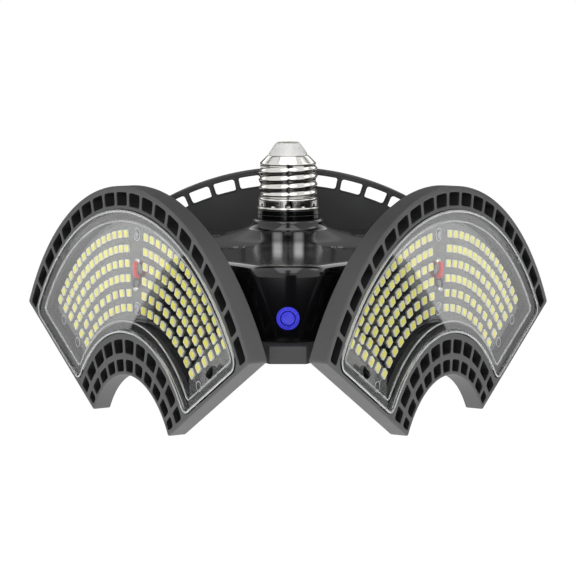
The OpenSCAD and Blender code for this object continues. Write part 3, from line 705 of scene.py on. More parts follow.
def finish_piece(name: str, shape: Mesh, place: Matrix, body: str, slots: Sequence[str],
                 nodes: Sequence[str], sharp: float = 35.0) -> Object:
    """Puts a shape in its place, smooths and dresses it and fixes it to its body.

    Args:
        name: the piece's name.
        shape: mesh in millimetres, in its own frame.
        place: placement in the row frame, in millimetres.
        body: CAD body that the piece moves with.
        slots: names of the finishes, at most one of which is a slot of the record.
        nodes: CAD nodes that the piece stands for.
        sharp: angle in degrees above which an edge stays sharp.

    Returns:
        The finished piece.
    """
    bm = bmesh.new()
    bm.from_mesh(shape)
    bmesh.ops.transform(bm, matrix=Matrix.Scale(MM, 4) @ place, verts=bm.verts)
    mesh = to_mesh(bm, name)
    mesh.shade_smooth()
    mesh.set_sharp_from_angle(angle=math.radians(sharp))
    piece = put_in_scene(name, mesh)
    piece.modifiers.new("weighted_normals", "WEIGHTED_NORMAL").keep_sharp = True
    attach(piece, body)
    for slot in slots:
        mesh.materials.append(MATERIALS.get(slot))
    if nodes:
        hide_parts(*nodes)
    log.info("%s: %d faces, rides on %s", name, len(mesh.polygons), body)
    return piece


def soften_node(node: str, slot: str, width_mm: float) -> None:
    """Stands a copy of one of the hub's CAD nodes in its place, with its edges softened.

    Args:
        node: the CAD node.
        slot: its material slot.
        width_mm: width of the softened edges.
    """
    bm = bmesh.new()
    bm.from_mesh(frame["nodes"][node].data)
    bmesh.ops.remove_doubles(bm, verts=bm.verts, dist=1e-6)
    bmesh.ops.dissolve_limit(bm, angle_limit=math.radians(0.5), verts=bm.verts, edges=bm.edges)
    bmesh.ops.transform(bm, matrix=Matrix.Scale(1 / MM, 4), verts=bm.verts)
    piece = finish_piece(f"{node}_softened", to_mesh(bm), Matrix.Identity(4), "hub", [slot], [node])
    bevel = piece.modifiers.new("softened_edges", "BEVEL")
    bevel.width = width_mm * MM
    bevel.segments = 2
    bevel.limit_method = "ANGLE"
    bevel.angle_limit = math.radians(40)
    bevel.harden_normals = False
    piece.modifiers.move(1, 0)


@dataclass(frozen=True)
class CrossScrew:
    """Screw with a domed head and a cross recess, its head standing up from z = 0.

    Attributes:
        head_r: radius of the head.
        head_h: height of the head.
        shank_r: radius of the shank.
        shank_l: length of the shank.
        recess: length of each arm of the cross.
    """

    head_r: float
    head_h: float
    shank_r: float
    shank_l: float
    recess: float

    def build(self) -> Mesh:
        """Makes the screw.

        Returns:
            Its mesh.
        """
        head = turned(rounded([
            (0, -self.shank_l, 0), (self.shank_r * 0.6, -self.shank_l, 0),
            (self.shank_r, -self.shank_l + self.shank_r, 0), (self.shank_r, 0, 0),
            (self.head_r, 0, self.head_h * 0.15), (self.head_r, self.head_h * 0.5, self.head_h * 0.3),
            (self.head_r * 0.66, self.head_h, self.head_h * 0.4), (0, self.head_h, 0)]), 32)
        arm, half, depth = self.recess, self.recess * 0.22, self.head_h * 0.55
        for x, y in ((arm, half), (half, arm)):
            bm = bmesh.new()
            box(bm, (-x, -y, self.head_h - depth), (x, y, self.head_h * 2))
            head = cut(head, to_mesh(bm))
        return head


# Panels


@dataclass
class Panel:
    """One folding panel: a slotted frame, an LED board and a clear lens, in the panel's own frame.

    Attributes:
        side: which panel it is.
        back_r: distance of the folded panel's back from the lamp's axis.
        ring_z: height of the centre of its arcs.
        disc_r, bore_r: outer and inner radius.
        thick: thickness from back to face.
        gap: half of the gap to the next panel.
        corner, edge: rounding of its corners and of its edges.
        slot_rows: inner and outer radius of each row of slots, its ribs and the angle between them.
        slot_edge, slot_corner: rounding of the slots' edges and of their corners.
        rib_w, side_rim: width of the ribs, and of the rim beside the last slots.
        recess_r1, recess_r2, recess_side, recess_corner: radii of the lens's recess, its distance
            from the straight sides, and its corners.
        tray_r1, tray_r2, tray_side, tray_corner: the same of the board's tray.
        fit: play of the lens in its recess.
        tray_floor, board_top, ledge_z, lens_z, lens_face, bead_top: heights above the back.
        led_outer_r, led_step: radius of the outer row of LEDs, and distance between the rows.
        hole_r, hole_size: place and radius of the hole that the leads come through.
        lug_span, lug_r, lug_w: half the distance between the hinge lugs, their radius and width.
        hinge_r, hinge_offset: radius and depth behind the back of the hinge's axis.
        pad_side: distance from the straight sides of the small parts beside the LEDs.
    """

    side: Side
    back_r: float = 71.2
    ring_z: float = -114.4
    disc_r: float = 124.5
    bore_r: float = 42.5
    thick: float = 8.2
    gap: float = 0.5
    corner: float = 1.2
    edge: float = 0.55
    slot_rows: tuple[tuple[float, float, int, float], ...] = (
        (116.1, 121.9, 19, 5.889), (44.1, 49.3, 10, 11.12), (52.0, 58.0, 10, 11.12))
    slot_edge: float = 0.35
    slot_corner: float = 1.2
    rib_w: float = 2.0
    side_rim: float = 2.7
    recess_r1: float = 60.6
    recess_r2: float = 114.6
    recess_side: float = 2.3
    recess_corner: float = 5.2
    tray_r1: float = 65.2
    tray_r2: float = 110.0
    tray_side: float = 6.9
    tray_corner: float = 2.6
    fit: float = 0.25
    tray_floor: float = 1.6
    board_top: float = 2.8
    ledge_z: float = 5.6
    lens_z: float = 6.4
    lens_face: float = 8.0
    bead_top: float = 8.8
    led_outer_r: float = 103.7
    led_step: float = 6.44
    hole_r: float = 86.0
    hole_size: float = 2.3
    lug_span: float = 26.0
    lug_r: float = 3.0
    lug_w: float = 9.0
    hinge_r: float = 64.7
    hinge_offset: float = 6.5
    pad_side: float = 11.3

    @property
    def place(self) -> Matrix:
        """Turns the panel's frame, X along its hinge and Z from back to face, into the row frame.

        Returns:
            The panel's placement; the right panel is the left one mirrored.
        """
        out = ray(1.0, self.side.value)
        turn = Matrix((Vector((-out.y, out.x, 0.0)), up(1.0), out)).transposed().to_4x4()
        mirror = Matrix.Diagonal((-1.0 if self.side is Side.RIGHT else 1.0, 1.0, 1.0, 1.0))
        return Matrix.Translation(out * self.back_r + up(self.ring_z)) @ turn @ mirror

    def name(self, thing: str) -> str:
        """Name of the panel's body, or of one of its nodes, pieces or cards."""
        return f"{self.side.name.lower()}_{thing}"

    def add(self, piece: str, shape: Mesh, slots: Sequence[str], *nodes: str) -> Object:
        """Finishes one of the panel's pieces.

        Args:
            piece: its name without the panel's.
            shape: its mesh in the panel's own frame.
            slots: material slots.
            *nodes: names, without the panel's, of the CAD nodes that it stands for.

        Returns:
            The finished piece.
        """
        return finish_piece(self.name(piece), shape, self.place, self.name("panel"), slots,
                            [self.name(n) for n in nodes])

    def slots(self) -> list[SectorOutline]:
        """Lays out the cooling slots.

        Returns:
            Their outlines, row by row.
        """
        out = []
        for inner, outer, ribs, pitch in self.slot_rows:
            lines = [((i - (ribs - 1) / 2) * pitch, self.rib_w / 2) for i in range(ribs)]
            lines = [(-60.0, self.side_rim), *lines, (60.0, self.side_rim)]
            out += [SectorOutline(inner, outer, start, end, start_inset, end_inset, self.slot_corner)
                    for (start, start_inset), (end, end_inset) in zip(lines, lines[1:])]
        return out

    def inlay(self, inner: float, outer: float, inset: float, corner: float) -> SectorOutline:
        """Outline of a recess in the panel, or of what fits into it."""
        return SectorOutline(inner, outer, -60, 60, inset, inset, corner, 8, 72)

    def through(self, bm: BMesh, outline: SectorOutline, edge: float, sign: int) -> tuple[Ring, Ring]:
        """Makes a wall from face to back with rounded edges.

        Args:
            bm: mesh in the making.
            outline: outline of the wall.
            edge: rounding of its edges.
            sign: 1 for the outside of the panel, -1 for a slot.

        Returns:
            The rings at the face and at the back.
        """
        quarter = [math.radians(a) for a in steps(0, 90, 3)]
        levels = [(-edge + edge * math.sin(t), self.thick - edge + edge * math.cos(t)) for t in quarter]
        levels += [(-edge + edge * math.cos(t), edge - edge * math.sin(t)) for t in quarter]
        face = ring = start_ring(bm, outline.points(sign * levels[0][0], levels[0][1]))
        for grow, z in levels[1:]:
            upper, ring = ring, extrude_ring(bm, ring, outline.points(sign * grow, z))
            # A slot's straight inner walls take the second finish, which is nearly black painted shade
            if sign < 0 and upper[0].co.z - ring[0].co.z > edge:
                for side_edge in ring_edges(bm, ring):
                    side_edge.link_faces[0].material_index = 1
        return face, ring

    def build_frame(self) -> None:
        """Makes the slotted frame with its lens recess, board tray and hinge lugs."""
        bm = bmesh.new()
        outside = SectorOutline(self.bore_r, self.disc_r, -60, 60, self.gap, self.gap, self.corner,
                                arc_steps=90)
        faces, backs = zip(self.through(bm, outside, self.edge, 1),
                           *(self.through(bm, s, self.slot_edge, -1) for s in self.slots()))
        recess = self.inlay(self.recess_r1, self.recess_r2, self.recess_side, self.recess_corner)
        tray = self.inlay(self.tray_r1, self.tray_r2, self.tray_side, self.tray_corner)
        mouth = start_ring(bm, recess.points(0.3, self.thick))
        floor = extrude_rings(bm, mouth, [
            recess.points(0.09, self.thick - 0.09), recess.points(0, self.thick - 0.3),
            recess.points(0, self.ledge_z), tray.points(0.2, self.ledge_z),
            tray.points(0, self.ledge_z - 0.2), tray.points(0, self.tray_floor)])
        hole = [Vector((0, self.hole_r, self.tray_floor)) + polar(self.hole_size, 15 * i)
                for i in range(24)]
        hole_top = start_ring(bm, hole)
        hole_bottom = extrude_ring(bm, hole_top, at_height(hole, 0))
        for rings in ([*faces, mouth], [*backs, hole_bottom], [floor, hole_top]):
            fill_rings(bm, rings)
        self.add_lugs(bm)
        self.add("panel_frame", to_mesh(bm), ["dark_grey_frame", "slot_wall_painted_shade"], "frame")

    def add_lugs(self, bm: BMesh) -> None:
        """Adds the two hinge lugs on the panel's back.

        Args:
            bm: the frame in the making.
        """
        foot = self.hinge_offset + 0.2
        profile = [Vector((0, self.lug_r * math.cos(t), self.lug_r * math.sin(t)))
                   for t in (math.radians(a) for a in steps(180, 360, 16))]
        profile += [Vector((0, self.lug_r, foot)), Vector((0, -self.lug_r, foot))]
        for s in (-1, 1):
            centre = Vector((s * self.lug_span - self.lug_w / 2, self.hinge_r, -self.hinge_offset))
            face = bm.faces.new([bm.verts.new(centre + p) for p in profile])
            made = bmesh.ops.extrude_face_region(bm, geom=[face])["geom"]
            verts = [v for v in made if isinstance(v, BMVert)]
            bmesh.ops.translate(bm, verts=verts, vec=(self.lug_w, 0, 0))

    def build_lens(self) -> None:
        """Makes the clear lens, with a rounded bead at its edge and a locating rib under it."""
        edge = self.inlay(self.recess_r1 + self.fit, self.recess_r2 - self.fit,
                          self.recess_side + self.fit, self.recess_corner - self.fit)
        rib = self.inlay(self.tray_r1 + 0.5, self.tray_r2 - 0.5, self.tray_side + 0.5,
                         self.tray_corner - 0.2)
        bm = bmesh.new()
        low, top = self.lens_z, self.bead_top
        first = start_ring(bm, edge.points(-0.25, low))
        face = extrude_rings(bm, first, [edge.points(grow, z) for grow, z in (
            (0, low + 0.25), (0, top - 0.5), (-0.08, top - 0.22), (-0.3, top - 0.05), (-0.6, top),
            (-0.9, top - 0.05), (-1.15, top - 0.25), (-1.3, top - 0.5),
            (-1.5, self.lens_face + 0.06), (-1.8, self.lens_face))])
        fill_rings(bm, [face])
        back = extrude_rings(bm, first, [rib.points(grow, z) for grow, z in (
            (0.1, low), (0, low - 0.1), (-0.05, low - 0.5), (-0.25, low - 0.6), (-0.45, low - 0.5),
            (-0.5, low - 0.1), (-0.6, low))])
        fill_rings(bm, [back])
        for part in bm.faces:
            height = part.calc_center_median().z
            part.material_index = int(height > top - 0.16 or height < low - 0.02)
        lens = self.add("panel_lens", to_mesh(bm), ["clear_lens", "lens_bead"], "lens")
        # The lamps shine on the LEDs through the clear lens
        lens.visible_shadow = False

    def on_board(self, radius: float, angle: float) -> Matrix:
        """Placement on the board, turned to stand along the radius."""
        return Matrix.Translation(polar(radius, angle) + up(self.board_top)) @ turn_by(-angle)

    def led_places(self) -> list[Matrix]:
        """Places the LEDs: six rows, each in two halves beside the middle.

        Returns:
            Their placements on the board.
        """
        out = []
        first, side_gap = 5.4, 18.0
        for row, count in enumerate((15, 15, 12, 12, 9, 9)):
            r = self.led_outer_r - row * self.led_step
            step = (angle_at(r, side_gap) - first) / (count - 1)
            out += [self.on_board(r, s * (first + i * step)) for i in range(count) for s in (-1, 1)]
        return out

    def build_leds(self) -> None:
        """Makes the LEDs: white bodies with a sunk field of phosphor."""
        bm = bmesh.new()
        box(bm, (-1.95, -1.65, 0), (1.95, 1.65, 0.7))
        upright = [e for e in bm.edges if abs(e.verts[0].co.z - e.verts[1].co.z) > 0.5]
        bmesh.ops.bevel(bm, geom=upright, offset=0.3, affect="EDGES", segments=1, profile=0.5, material=-1)
        bm.normal_update()
        top = [f for f in bm.faces if f.normal.z > 0.9]
        for thickness, depth in ((0.22, 0.0), (0.08, -0.1)):
            bmesh.ops.inset_region(bm, faces=top, thickness=thickness, depth=depth)
        for face in top:
            face.material_index = 1
        self.add("panel_leds", stamped(to_mesh(bm), self.led_places()), ["led_body", "led_phosphor"],
                 "leds")

    def build_board_details(self) -> None:
        """Makes the board's screws, printed rings, solder joints and small capacitor."""
        screw = CrossScrew(1.9, 0.9, 1.1, 2.4, 1.1).build()
        screw_spots = {r: shift(0, r, self.board_top) for r in (103.7, 71.5)}
        pads = [polar(r, s * angle_at(r, self.pad_side)) + up(self.board_top)
                for r, s in ((72.5, 1), (88.6, 1), (96.0, -1), (79.0, -1))]
        circle = turned([(2.5, 0.0), (2.85, 0.0), (2.85, 0.05), (2.5, 0.05)], 40)
        dome = turned(rounded([(0, 0, 0), (1.5, 0, 0), (1.25, 0.75, 0.5), (0.5, 1.35, 0.4), (0, 1.4, 0)]),
                      24)
        self.add("board_screw_heads", stamped(screw, [p @ turn_by(r) for r, p in screw_spots.items()]),
                 ["zinc_steel"], "board_screws")
        self.add("board_print", stamped(circle, [
            *screw_spots.values(),
            *(Matrix.Translation(p) @ Matrix.Diagonal((0.8, 0.8, 1, 1)) for p in pads)]), ["board_print"])
        self.add("solder_domes", stamped(dome, [
            shift(x, self.hole_r + y, self.board_top) for x, y in ((1.1, 6.4), (-1.1, -6.0))]),
            ["solder"], "solder_joints")
        self.build_capacitor()

    def build_capacitor(self) -> None:
        """Makes the small capacitor beside the LEDs: a drawn can with a groove, on two legs."""
        can_r, lift, spread, radius = 1.5, 1.7, 1.5, 88.6
        can = turned(rounded([(0, -3, 0), (can_r, -3, 0.3), (can_r, -2.2, 0.1), (1.3, -2.0, 0.1),
                              (can_r, -1.8, 0.1), (can_r, 3, 0.3), (0, 3, 0)]), 32)
        leg = turned(rounded([(0, 0, 0), (0.35, 0, 0), (0.35, 1.6, 0.2), (0, 1.6, 0)]), 12)
        angle = angle_at(radius, self.pad_side)
        spot = polar(radius, angle) + up(self.board_top + lift)
        bm = bmesh.new()
        stamp(bm, can, [Matrix.Translation(spot) @ turn_by(-angle) @ turn_by(90, "X")])
        stamp(bm, leg, [Matrix.Translation(polar(radius + s * spread, angle) + up(self.board_top))
                        for s in (-1, 1)])
        self.add("board_capacitor_can", to_mesh(bm), ["black_component"], "board_capacitor")

    def build_lead(self, colour: str, route: Sequence[tuple[float, float, float]], radius: float) -> None:
        """Makes one of the short leads that go from the board's hole to a solder joint.

        Args:
            colour: colour in the names of its piece, its slot and its node.
            route: points that it runs through, from the joint into the hole, measured from the
                hole's middle on the board.
            radius: radius of its sleeve.
        """
        spots = [Vector((x, self.hole_r + y, z)) + up(self.board_top) for x, y, z in route]
        corners = [spots[0], *((a + b) / 2 for a, b in zip(spots[1:], spots[2:-1])), spots[-1]]
        path = [curve_point(start, bend, end, t)
                for start, bend, end in zip(corners, spots[1:-1], corners[1:])
                for t in steps(0, 1, 6)[:-1]] + [spots[-1]]
        rims = []
        for i, spot in enumerate(path):
            ahead = path[min(i + 1, len(path) - 1)] - path[max(i - 1, 0)]
            across = ahead.to_track_quat("Z", "Y")
            rims.append([spot + across @ ray(radius, 30 * k) for k in range(12)])
        bm = bmesh.new()
        extrude_rings(bm, start_ring(bm, rims[0]), rims[1:])
        bmesh.ops.holes_fill(bm, edges=[e for e in bm.edges if e.is_boundary], sides=0)
        self.add(f"{colour}_sleeve", to_mesh(bm), [f"{colour}_lead"], f"{colour}_lead")

    def build(self) -> None:
        """Makes all the panel's pieces."""
        self.build_frame()
        self.build_lens()
        self.build_leds()
        self.build_board_details()
        self.build_lead("red", ((1.1, 6.0, 0.6), (1.5, 5.2, 2.0), (2.5, 2.6, 2.2), (2.3, -0.4, 1.9),
                                (0.9, -0.5, -0.8)), 0.95)
        self.build_lead("black", ((-1.1, -5.4, 0.6), (-1.0, -4.6, 1.4), (-0.4, -3.0, 1.6),
                                  (-0.3, -1.2, 1.2), (-0.5, -0.9, -0.8)), 0.55)


# Hub


@dataclass
class HubCover:
    """Glossy cover: a neck and a cone on three low vaults, with recessed screws. Heights above the plate.

    Attributes:
        outline: plan of the cover.
        floor: height of its lower edge.
        wall: wall thickness.
        crown: height of the ridges, which run out to the corners.
        vault_r: radius of the vaults.
        trough_from: angle from a ridge, in degrees, past which a vault flattens into the trough.
        trough_ease: how strongly it does, so that two vaults meet there without a crease.
        edge: rounding of the upper edge.
        neck_inner_r: radius of the neck's opening.
        neck_top_r: radius of the neck's top.
        neck_r: radius of the neck where it meets the cone.
        neck_z: height of the neck.
        cone_z: height of the cone's upper edge.
        cone_slope: fall of the cone for each millimetre outwards.
        blend: softness of the change from cone to vault, in square millimetres.
        middle_r: radius where the round rings end and change over to the outline.
        screw_r: distance of the screws from the axis.
        well_r: radius of the screw wells.
        well_z: height of their floors.
        button_hole_r: radius of the button's hole.
    """

    outline: HubOutline = HubOutline(66.3, 114.5, 18.0)
    floor: float = 7.0
    wall: float = 2.4
    crown: float = 37.3
    vault_r: float = 240.0
    trough_from: float = 45.0
    trough_ease: float = 1.654
    edge: float = 4.4
    neck_inner_r: float = 13.0
    neck_top_r: float = 15.9
    neck_r: float = 17.2
    neck_z: float = 46.2
    cone_z: float = 41.9
    cone_slope: float = 0.3
    blend: float = 10.0
    middle_r: float = 54.0
    screw_r: float = 45.0
    well_r: float = 3.2
    well_z: float = 33.65
    button_hole_r: float = 3.8

    def surface(self, p: Vector) -> float:
        """Height of the upper surface: the vaults, blended into the cone and into each other.

        Args:
            p: point in plan.

        Returns:
            Height above the plate.
        """
        r = math.hypot(p.x, p.y)
        turn_off = math.radians(abs((math.degrees(math.atan2(p.y, p.x)) + 30) % 120 - 60))
        late = max(0.0, turn_off - math.radians(self.trough_from))
        fall = math.sin(turn_off) ** 2 - self.trough_ease * late * late
        vault = self.crown - r * r * fall / (2 * self.vault_r)
        cone = self.cone_z - (r - self.neck_r) * self.cone_slope
        return 0.5 * (vault + cone + math.sqrt((vault - cone) ** 2 + self.blend))

    def drape(self, points: Points, drop: float = 0.0) -> list[Vector]:
        """The points laid on the upper surface, or some distance under it."""
        return [Vector((p.x, p.y, self.surface(p))) - up(drop) for p in points]

    def shell_rows(self) -> list[Points]:
        """Lays out the shell's rings, from the neck outwards and back inside.

        Returns:
            The points of each ring.
        """
        base = self.outline.points(-self.edge)
        rays = [Vector((p.x, p.y, 0)).normalized() for p in base]
        foot_r = self.neck_r + 4.0
        neck = rounded([(self.neck_inner_r, self.neck_z, 0), (self.neck_top_r, self.neck_z, 1.4),
                        (self.neck_r, self.surface(ray(self.neck_r, 0)), 2.6),
                        (foot_r, self.surface(ray(foot_r, 0)), 0)], 8)
        rows = [at_height([d * r for d in rays], z) for r, z in neck]
        rows += [self.drape([d * r for d in rays]) for r in (
            22.2, 23.5, 25, 27, 29, 31, 33, 35, 37, 39, 41, 43, 45, 47, 49, 51.5, self.middle_r)]
        rows += [self.drape([a.lerp(b, s) for a, b in zip(rows[-1], base)])
                 for s in steps(0, 1, 12)[1:]]
        tops = [self.surface(p) for p in base]

        def under(grow: float, drop: float) -> list[Vector]:
            """The outline at another offset, some distance under the upper edge."""
            return [Vector((p.x, p.y, z - drop)) for p, z in zip(self.outline.points(grow), tops)]

        rows += [under(-self.edge + self.edge * math.sin(t), self.edge * (1 - math.cos(t)))
                 for t in (math.radians(a) for a in steps(0, 90, 8)[1:])]
        rows += [self.outline.points(grow, self.floor + lift) for grow, lift in (
            (0, 0.35), (-0.1, 0.1), (-0.35, 0.02), (-self.wall, 0.02))]
        rows += [under(-self.wall, self.edge + 1), under(-self.edge, self.wall)]
        rows += [self.drape([d * r for d in rays], self.wall) for r in (46.0, 36.0, 26.0, 19.0)]
        rows += [at_height([d * r for d in rays], z) for r, z in (
            (14.8, self.cone_z - 1.0), (self.neck_inner_r, self.neck_z - 1.6))]
        return rows

    def build_cutters(self, spots: Sequence[Matrix]) -> Mesh:
        """Makes what is cut out of the shell: the screw wells with a chamfer, and the button's hole.

        Args:
            spots: places of the screws.

        Returns:
            The cutters as one mesh.
        """
        bm = bmesh.new()
        top = min(self.surface(ray(r, 0)) for r in (self.screw_r - 3, self.screw_r + 3))
        stamp(bm, turned([(0, self.well_z - 2), (self.well_r + 0.03, self.well_z - 2),
                          (self.well_r + 0.03, top - 0.35), (self.well_r + 1.6, top + 1.2),
                          (0, top + 1.2)], 48), spots)
        hole = turned([(0, 100), (self.button_hole_r, 100), (self.button_hole_r, 130), (0, 130)], 48)
        stamp(bm, hole, [shift(0, 0, BUTTON_Z) @ turn_by(90, "X")])
        return to_mesh(bm)

    def build(self) -> None:
        """Makes the cover with the cups of its screw wells, and its screws."""
        spots = [Matrix.Translation(ray(self.screw_r, 60 * i)) for i in range(6)]
        bm = bmesh.new()
        bm.from_mesh(cut(hollow(self.shell_rows()), self.build_cutters(spots)))
        top = min(self.surface(ray(self.screw_r + 4.5, a)) for a in (0, 6)) - 1.8
        outer_r, low = self.well_r + 1.2, self.well_z - 2.2
        stamp(bm, turned([(1.5, self.well_z), (self.well_r, self.well_z), (self.well_r, top),
                          (outer_r, top), (outer_r, low), (1.5, low)], 48), spots)
        screws = [Matrix.Translation(ray(self.screw_r, 60 * i) + up(self.well_z)) @ turn_by(20 + 31 * i)
                  for i in range(6)]
        screw = CrossScrew(2.7, 1.6, 1.45, 12.0, 1.6).build()
        place = shift(0, 0, PLATE_Z)
        finish_piece("glossy_cover", to_mesh(bm), place, "hub", ["gloss_black"], ["hub_cover"])
        finish_piece("cover_screw_heads", stamped(screw, screws), place, "hub", ["black_steel"],
                     ["cover_screws"])


@dataclass
class PushButton:
    """Blue push button: a ring with a groove and a domed cap, turned about the Y axis.

    Attributes:
        front_r: distance of the cover's front from the lamp's axis.
        ring_r: radius of the ring.
        tube_r: radius of its tube through the cover.
        bore_r: radius of its bore.
        ring_proud: how far it stands out of the cover.
        cap_r: radius of the cap.
        cap_proud: how far the cap stands out of the ring.
    """

    front_r: float = 114.5
    ring_r: float = 4.65
    tube_r: float = 3.75
    bore_r: float = 3.1
    ring_proud: float = 0.9
    cap_r: float = 2.8
    cap_proud: float = 0.5

    def build(self) -> None:
        """Makes the ring and the cap."""
        place = shift(0, 0, PLATE_Z + BUTTON_Z) @ turn_by(90, "X")
        back, seat, front = self.front_r - 5.0, self.front_r - 0.7, self.front_r + self.ring_proud
        ring = rounded([
            (self.bore_r, back, 0), (self.tube_r, back, 0), (self.tube_r, seat, 0),
            (self.ring_r, seat, 0.1), (self.ring_r, front, 0.35), (4.05, front, 0.12),
            (3.85, front - 0.22, 0.1), (3.65, front, 0.12), (self.bore_r, front, 0.15),
            (self.bore_r, front - 0.4, 0)])
        finish_piece("button_ring", turned(ring), place, "hub", ["blue_button"], ["button_bezel"])
        tip, stem, flange_r = front + self.cap_proud, self.front_r - 6.6, self.bore_r + 0.5
        cap = rounded([
            (0, stem - 2.5, 0), (1.4, stem - 2.5, 0.2), (1.4, stem, 0), (flange_r, stem, 0.1),
            (flange_r, stem + 1.2, 0.1), (self.cap_r, stem + 1.2, 0), (self.cap_r, tip - 0.1, 0.3),
            (2.2, tip, 0.2), (1.95, tip - 0.16, 0.15), (0, tip - 0.2, 0)])
        finish_piece("button_cap", turned(cap), place, "button", ["blue_button"], ["push_button"])


@dataclass
class ScrewBase:
    """Screw shell with its collar, insulator and contact. Heights from the shell's lower edge.

    Attributes:
        rim_r: radius of the rim at the lower edge.
        skirt_r: radius of the plain skirt.
        skirt_top: height of the skirt's upper edge.
        crest_r: crest radius of the thread.
        root_r: root radius of the thread.
        pitch: pitch of the thread.
        thread_low: height where the thread begins.
        thread_high: height where it ends.
        fade: length over which it fades out.
        shoulder_z: height of the shoulder's lower edge.
        mouth_r: radius of the shell's mouth.
        mouth_z: height of the mouth.
        wall: wall of the shell.
        dimples: number of crimp marks round the skirt.
        dimple_z: their height.
        dimple_depth: their depth.
        dimple_r: their radius.
        columns: segments round the shell.
        row: height of a segment of the thread.
    """

    rim_r: float = 13.9
    skirt_r: float = 13.25
    skirt_top: float = 4.8
    crest_r: float = 13.15
    root_r: float = 12.2
    pitch: float = 3.629
    thread_low: float = 5.3
    thread_high: float = 19.6
    fade: float = 1.4
    shoulder_z: float = 20.0
    mouth_r: float = 8.9
    mouth_z: float = 24.0
    wall: float = 0.6
    dimples: int = 12
    dimple_z: float = 1.9
    dimple_depth: float = 0.4
    dimple_r: float = 0.5
    columns: int = 144
    row: float = 0.22

    def thread(self, h: float, angle: float) -> float:
        """Radius of the rolled thread.

        Args:
            h: height.
            angle: angle in degrees.

        Returns:
            The radius.
        """
        fade = max(0.0, min(1.0, (h - self.thread_low) / self.fade, (self.thread_high - h) / self.fade))
        wave = 0.5 + 0.5 * math.cos(math.radians(360 * h / self.pitch - angle))
        return self.root_r + (self.crest_r - self.root_r) * fade * wave

    def dimple(self, h: float, angle: float) -> float:
        """Depth of the crimp marks.

        Args:
            h: height.
            angle: angle in degrees.

        Returns:
            The depth.
        """
        pitch = 360 / self.dimples
        off = (angle + pitch / 2) % pitch - pitch / 2
        away = math.hypot(math.radians(off) * self.skirt_r, h - self.dimple_z)
        return self.dimple_depth * math.exp(-((away / self.dimple_r) ** 2))

    def build_shell(self) -> None:
        """Makes the rolled shell: rim, skirt with crimp marks, thread and shoulder."""
        low, high, inner = self.thread_low, self.thread_high, self.root_r - self.wall
        skirt = rounded([(13.3, 0, 0), (self.rim_r, 0, 0.3), (self.rim_r, 0.8, 0.3),
                         (self.skirt_r, 0.95, 0.15), (self.skirt_r, 1.5, 0)])
        skirt += [(self.skirt_r, 1.5 + 0.25 * i) for i in range(1, 11)]
        skirt += rounded([(self.skirt_r, 4.1, 0), (self.skirt_r, self.skirt_top, 0.5),
                          (self.root_r, low, 0.3), (self.root_r, low + 0.3, 0)])
        heights = [low + 0.4 + self.row * i for i in range(int((high - low - 0.4) / self.row))]
        shoulder = rounded([(self.root_r, high, 0), (12.85, self.shoulder_z + 0.05, 0.9),
                            (self.mouth_r, self.mouth_z, 0.9), (self.mouth_r - 0.5, self.mouth_z - 0.1, 0.2),
                            (self.mouth_r - self.wall, self.mouth_z - 0.8, 0)])
        inside = [(self.crest_r - 1.5, self.shoulder_z), (inner, high - 0.5), (inner, low), (12.4, 3.6),
                  (12.4, 0.05)]

        def ring_at(h: float, radius: Callable[[float], float]) -> list[Vector]:
            """Points of a ring whose radius may change with the angle."""
            return at_height([ray(radius(a), a) for a in steps(0, 360, self.columns)[:-1]], h)

        rows = [ring_at(0, lambda _: skirt[0][0])]
        rows += [ring_at(h, lambda a: r - self.dimple(h, a)) for r, h in skirt[1:]]
        rows += [ring_at(h, lambda a: self.thread(h, a)) for h in heights]
        rows += [ring_at(h, lambda _: r) for r, h in [*shoulder, *inside]]
        self.add("nickel_screw_shell", hollow(rows), "nickel_shell", "screw_shell", 60)

    def add(self, name: str, shape: Mesh, slot: str, node: str, sharp: float = 35.0) -> None:
        """Finishes one of the pieces that stand on the shell's lower edge."""
        finish_piece(name, shape, shift(0, 0, SHELL_Z), "hub", [slot], [node], sharp)

    def build_turned(self) -> None:
        """Makes the collar, the insulator and the contact."""
        collar = rounded([
            (10.7, -10.3, 0), (12.75, -10.3, 0.2), (12.75, -4.3, 0), (14.0, -4.3, 0.25), (14.0, -2.35, 0.1),
            (13.8, -2.2, 0.05), (14.0, -2.05, 0.1), (14.0, 0, 0.3), (11.5, 0, 0), (11.5, 3.4, 0.2),
            (10.7, 3.4, 0)])
        insulator = rounded([
            (1.25, 23.0, 0), (7.3, 23.0, 0), (7.3, 23.9, 0), (8.75, 23.9, 0.15), (8.2, 25.2, 0.5),
            (5.3, 29.3, 0.4), (4.6, 29.6, 0.3), (3.75, 29.6, 0.2), (3.7, 28.6, 0), (1.25, 28.6, 0)])
        contact = rounded([
            (0, 26.4, 0), (1.2, 26.4, 0), (1.2, 28.6, 0), (3.6, 28.6, 0.1), (3.55, 29.1, 0.2),
            (2.5, 29.42, 0.3), (1.0, 29.5, 0.2), (0, 29.5, 0)])
        self.add("black_collar", turned(collar, 96), "gloss_black", "neck_collar")
        self.add("white_base_insulator", turned(insulator, 72), "white_insulator", "base_insulator")
        self.add("brass_centre_contact", turned(contact, 48), "brass_contact", "centre_contact")

    def build(self) -> None:
        """Makes all the pieces of the screw base."""
        self.build_shell()
        self.build_turned()


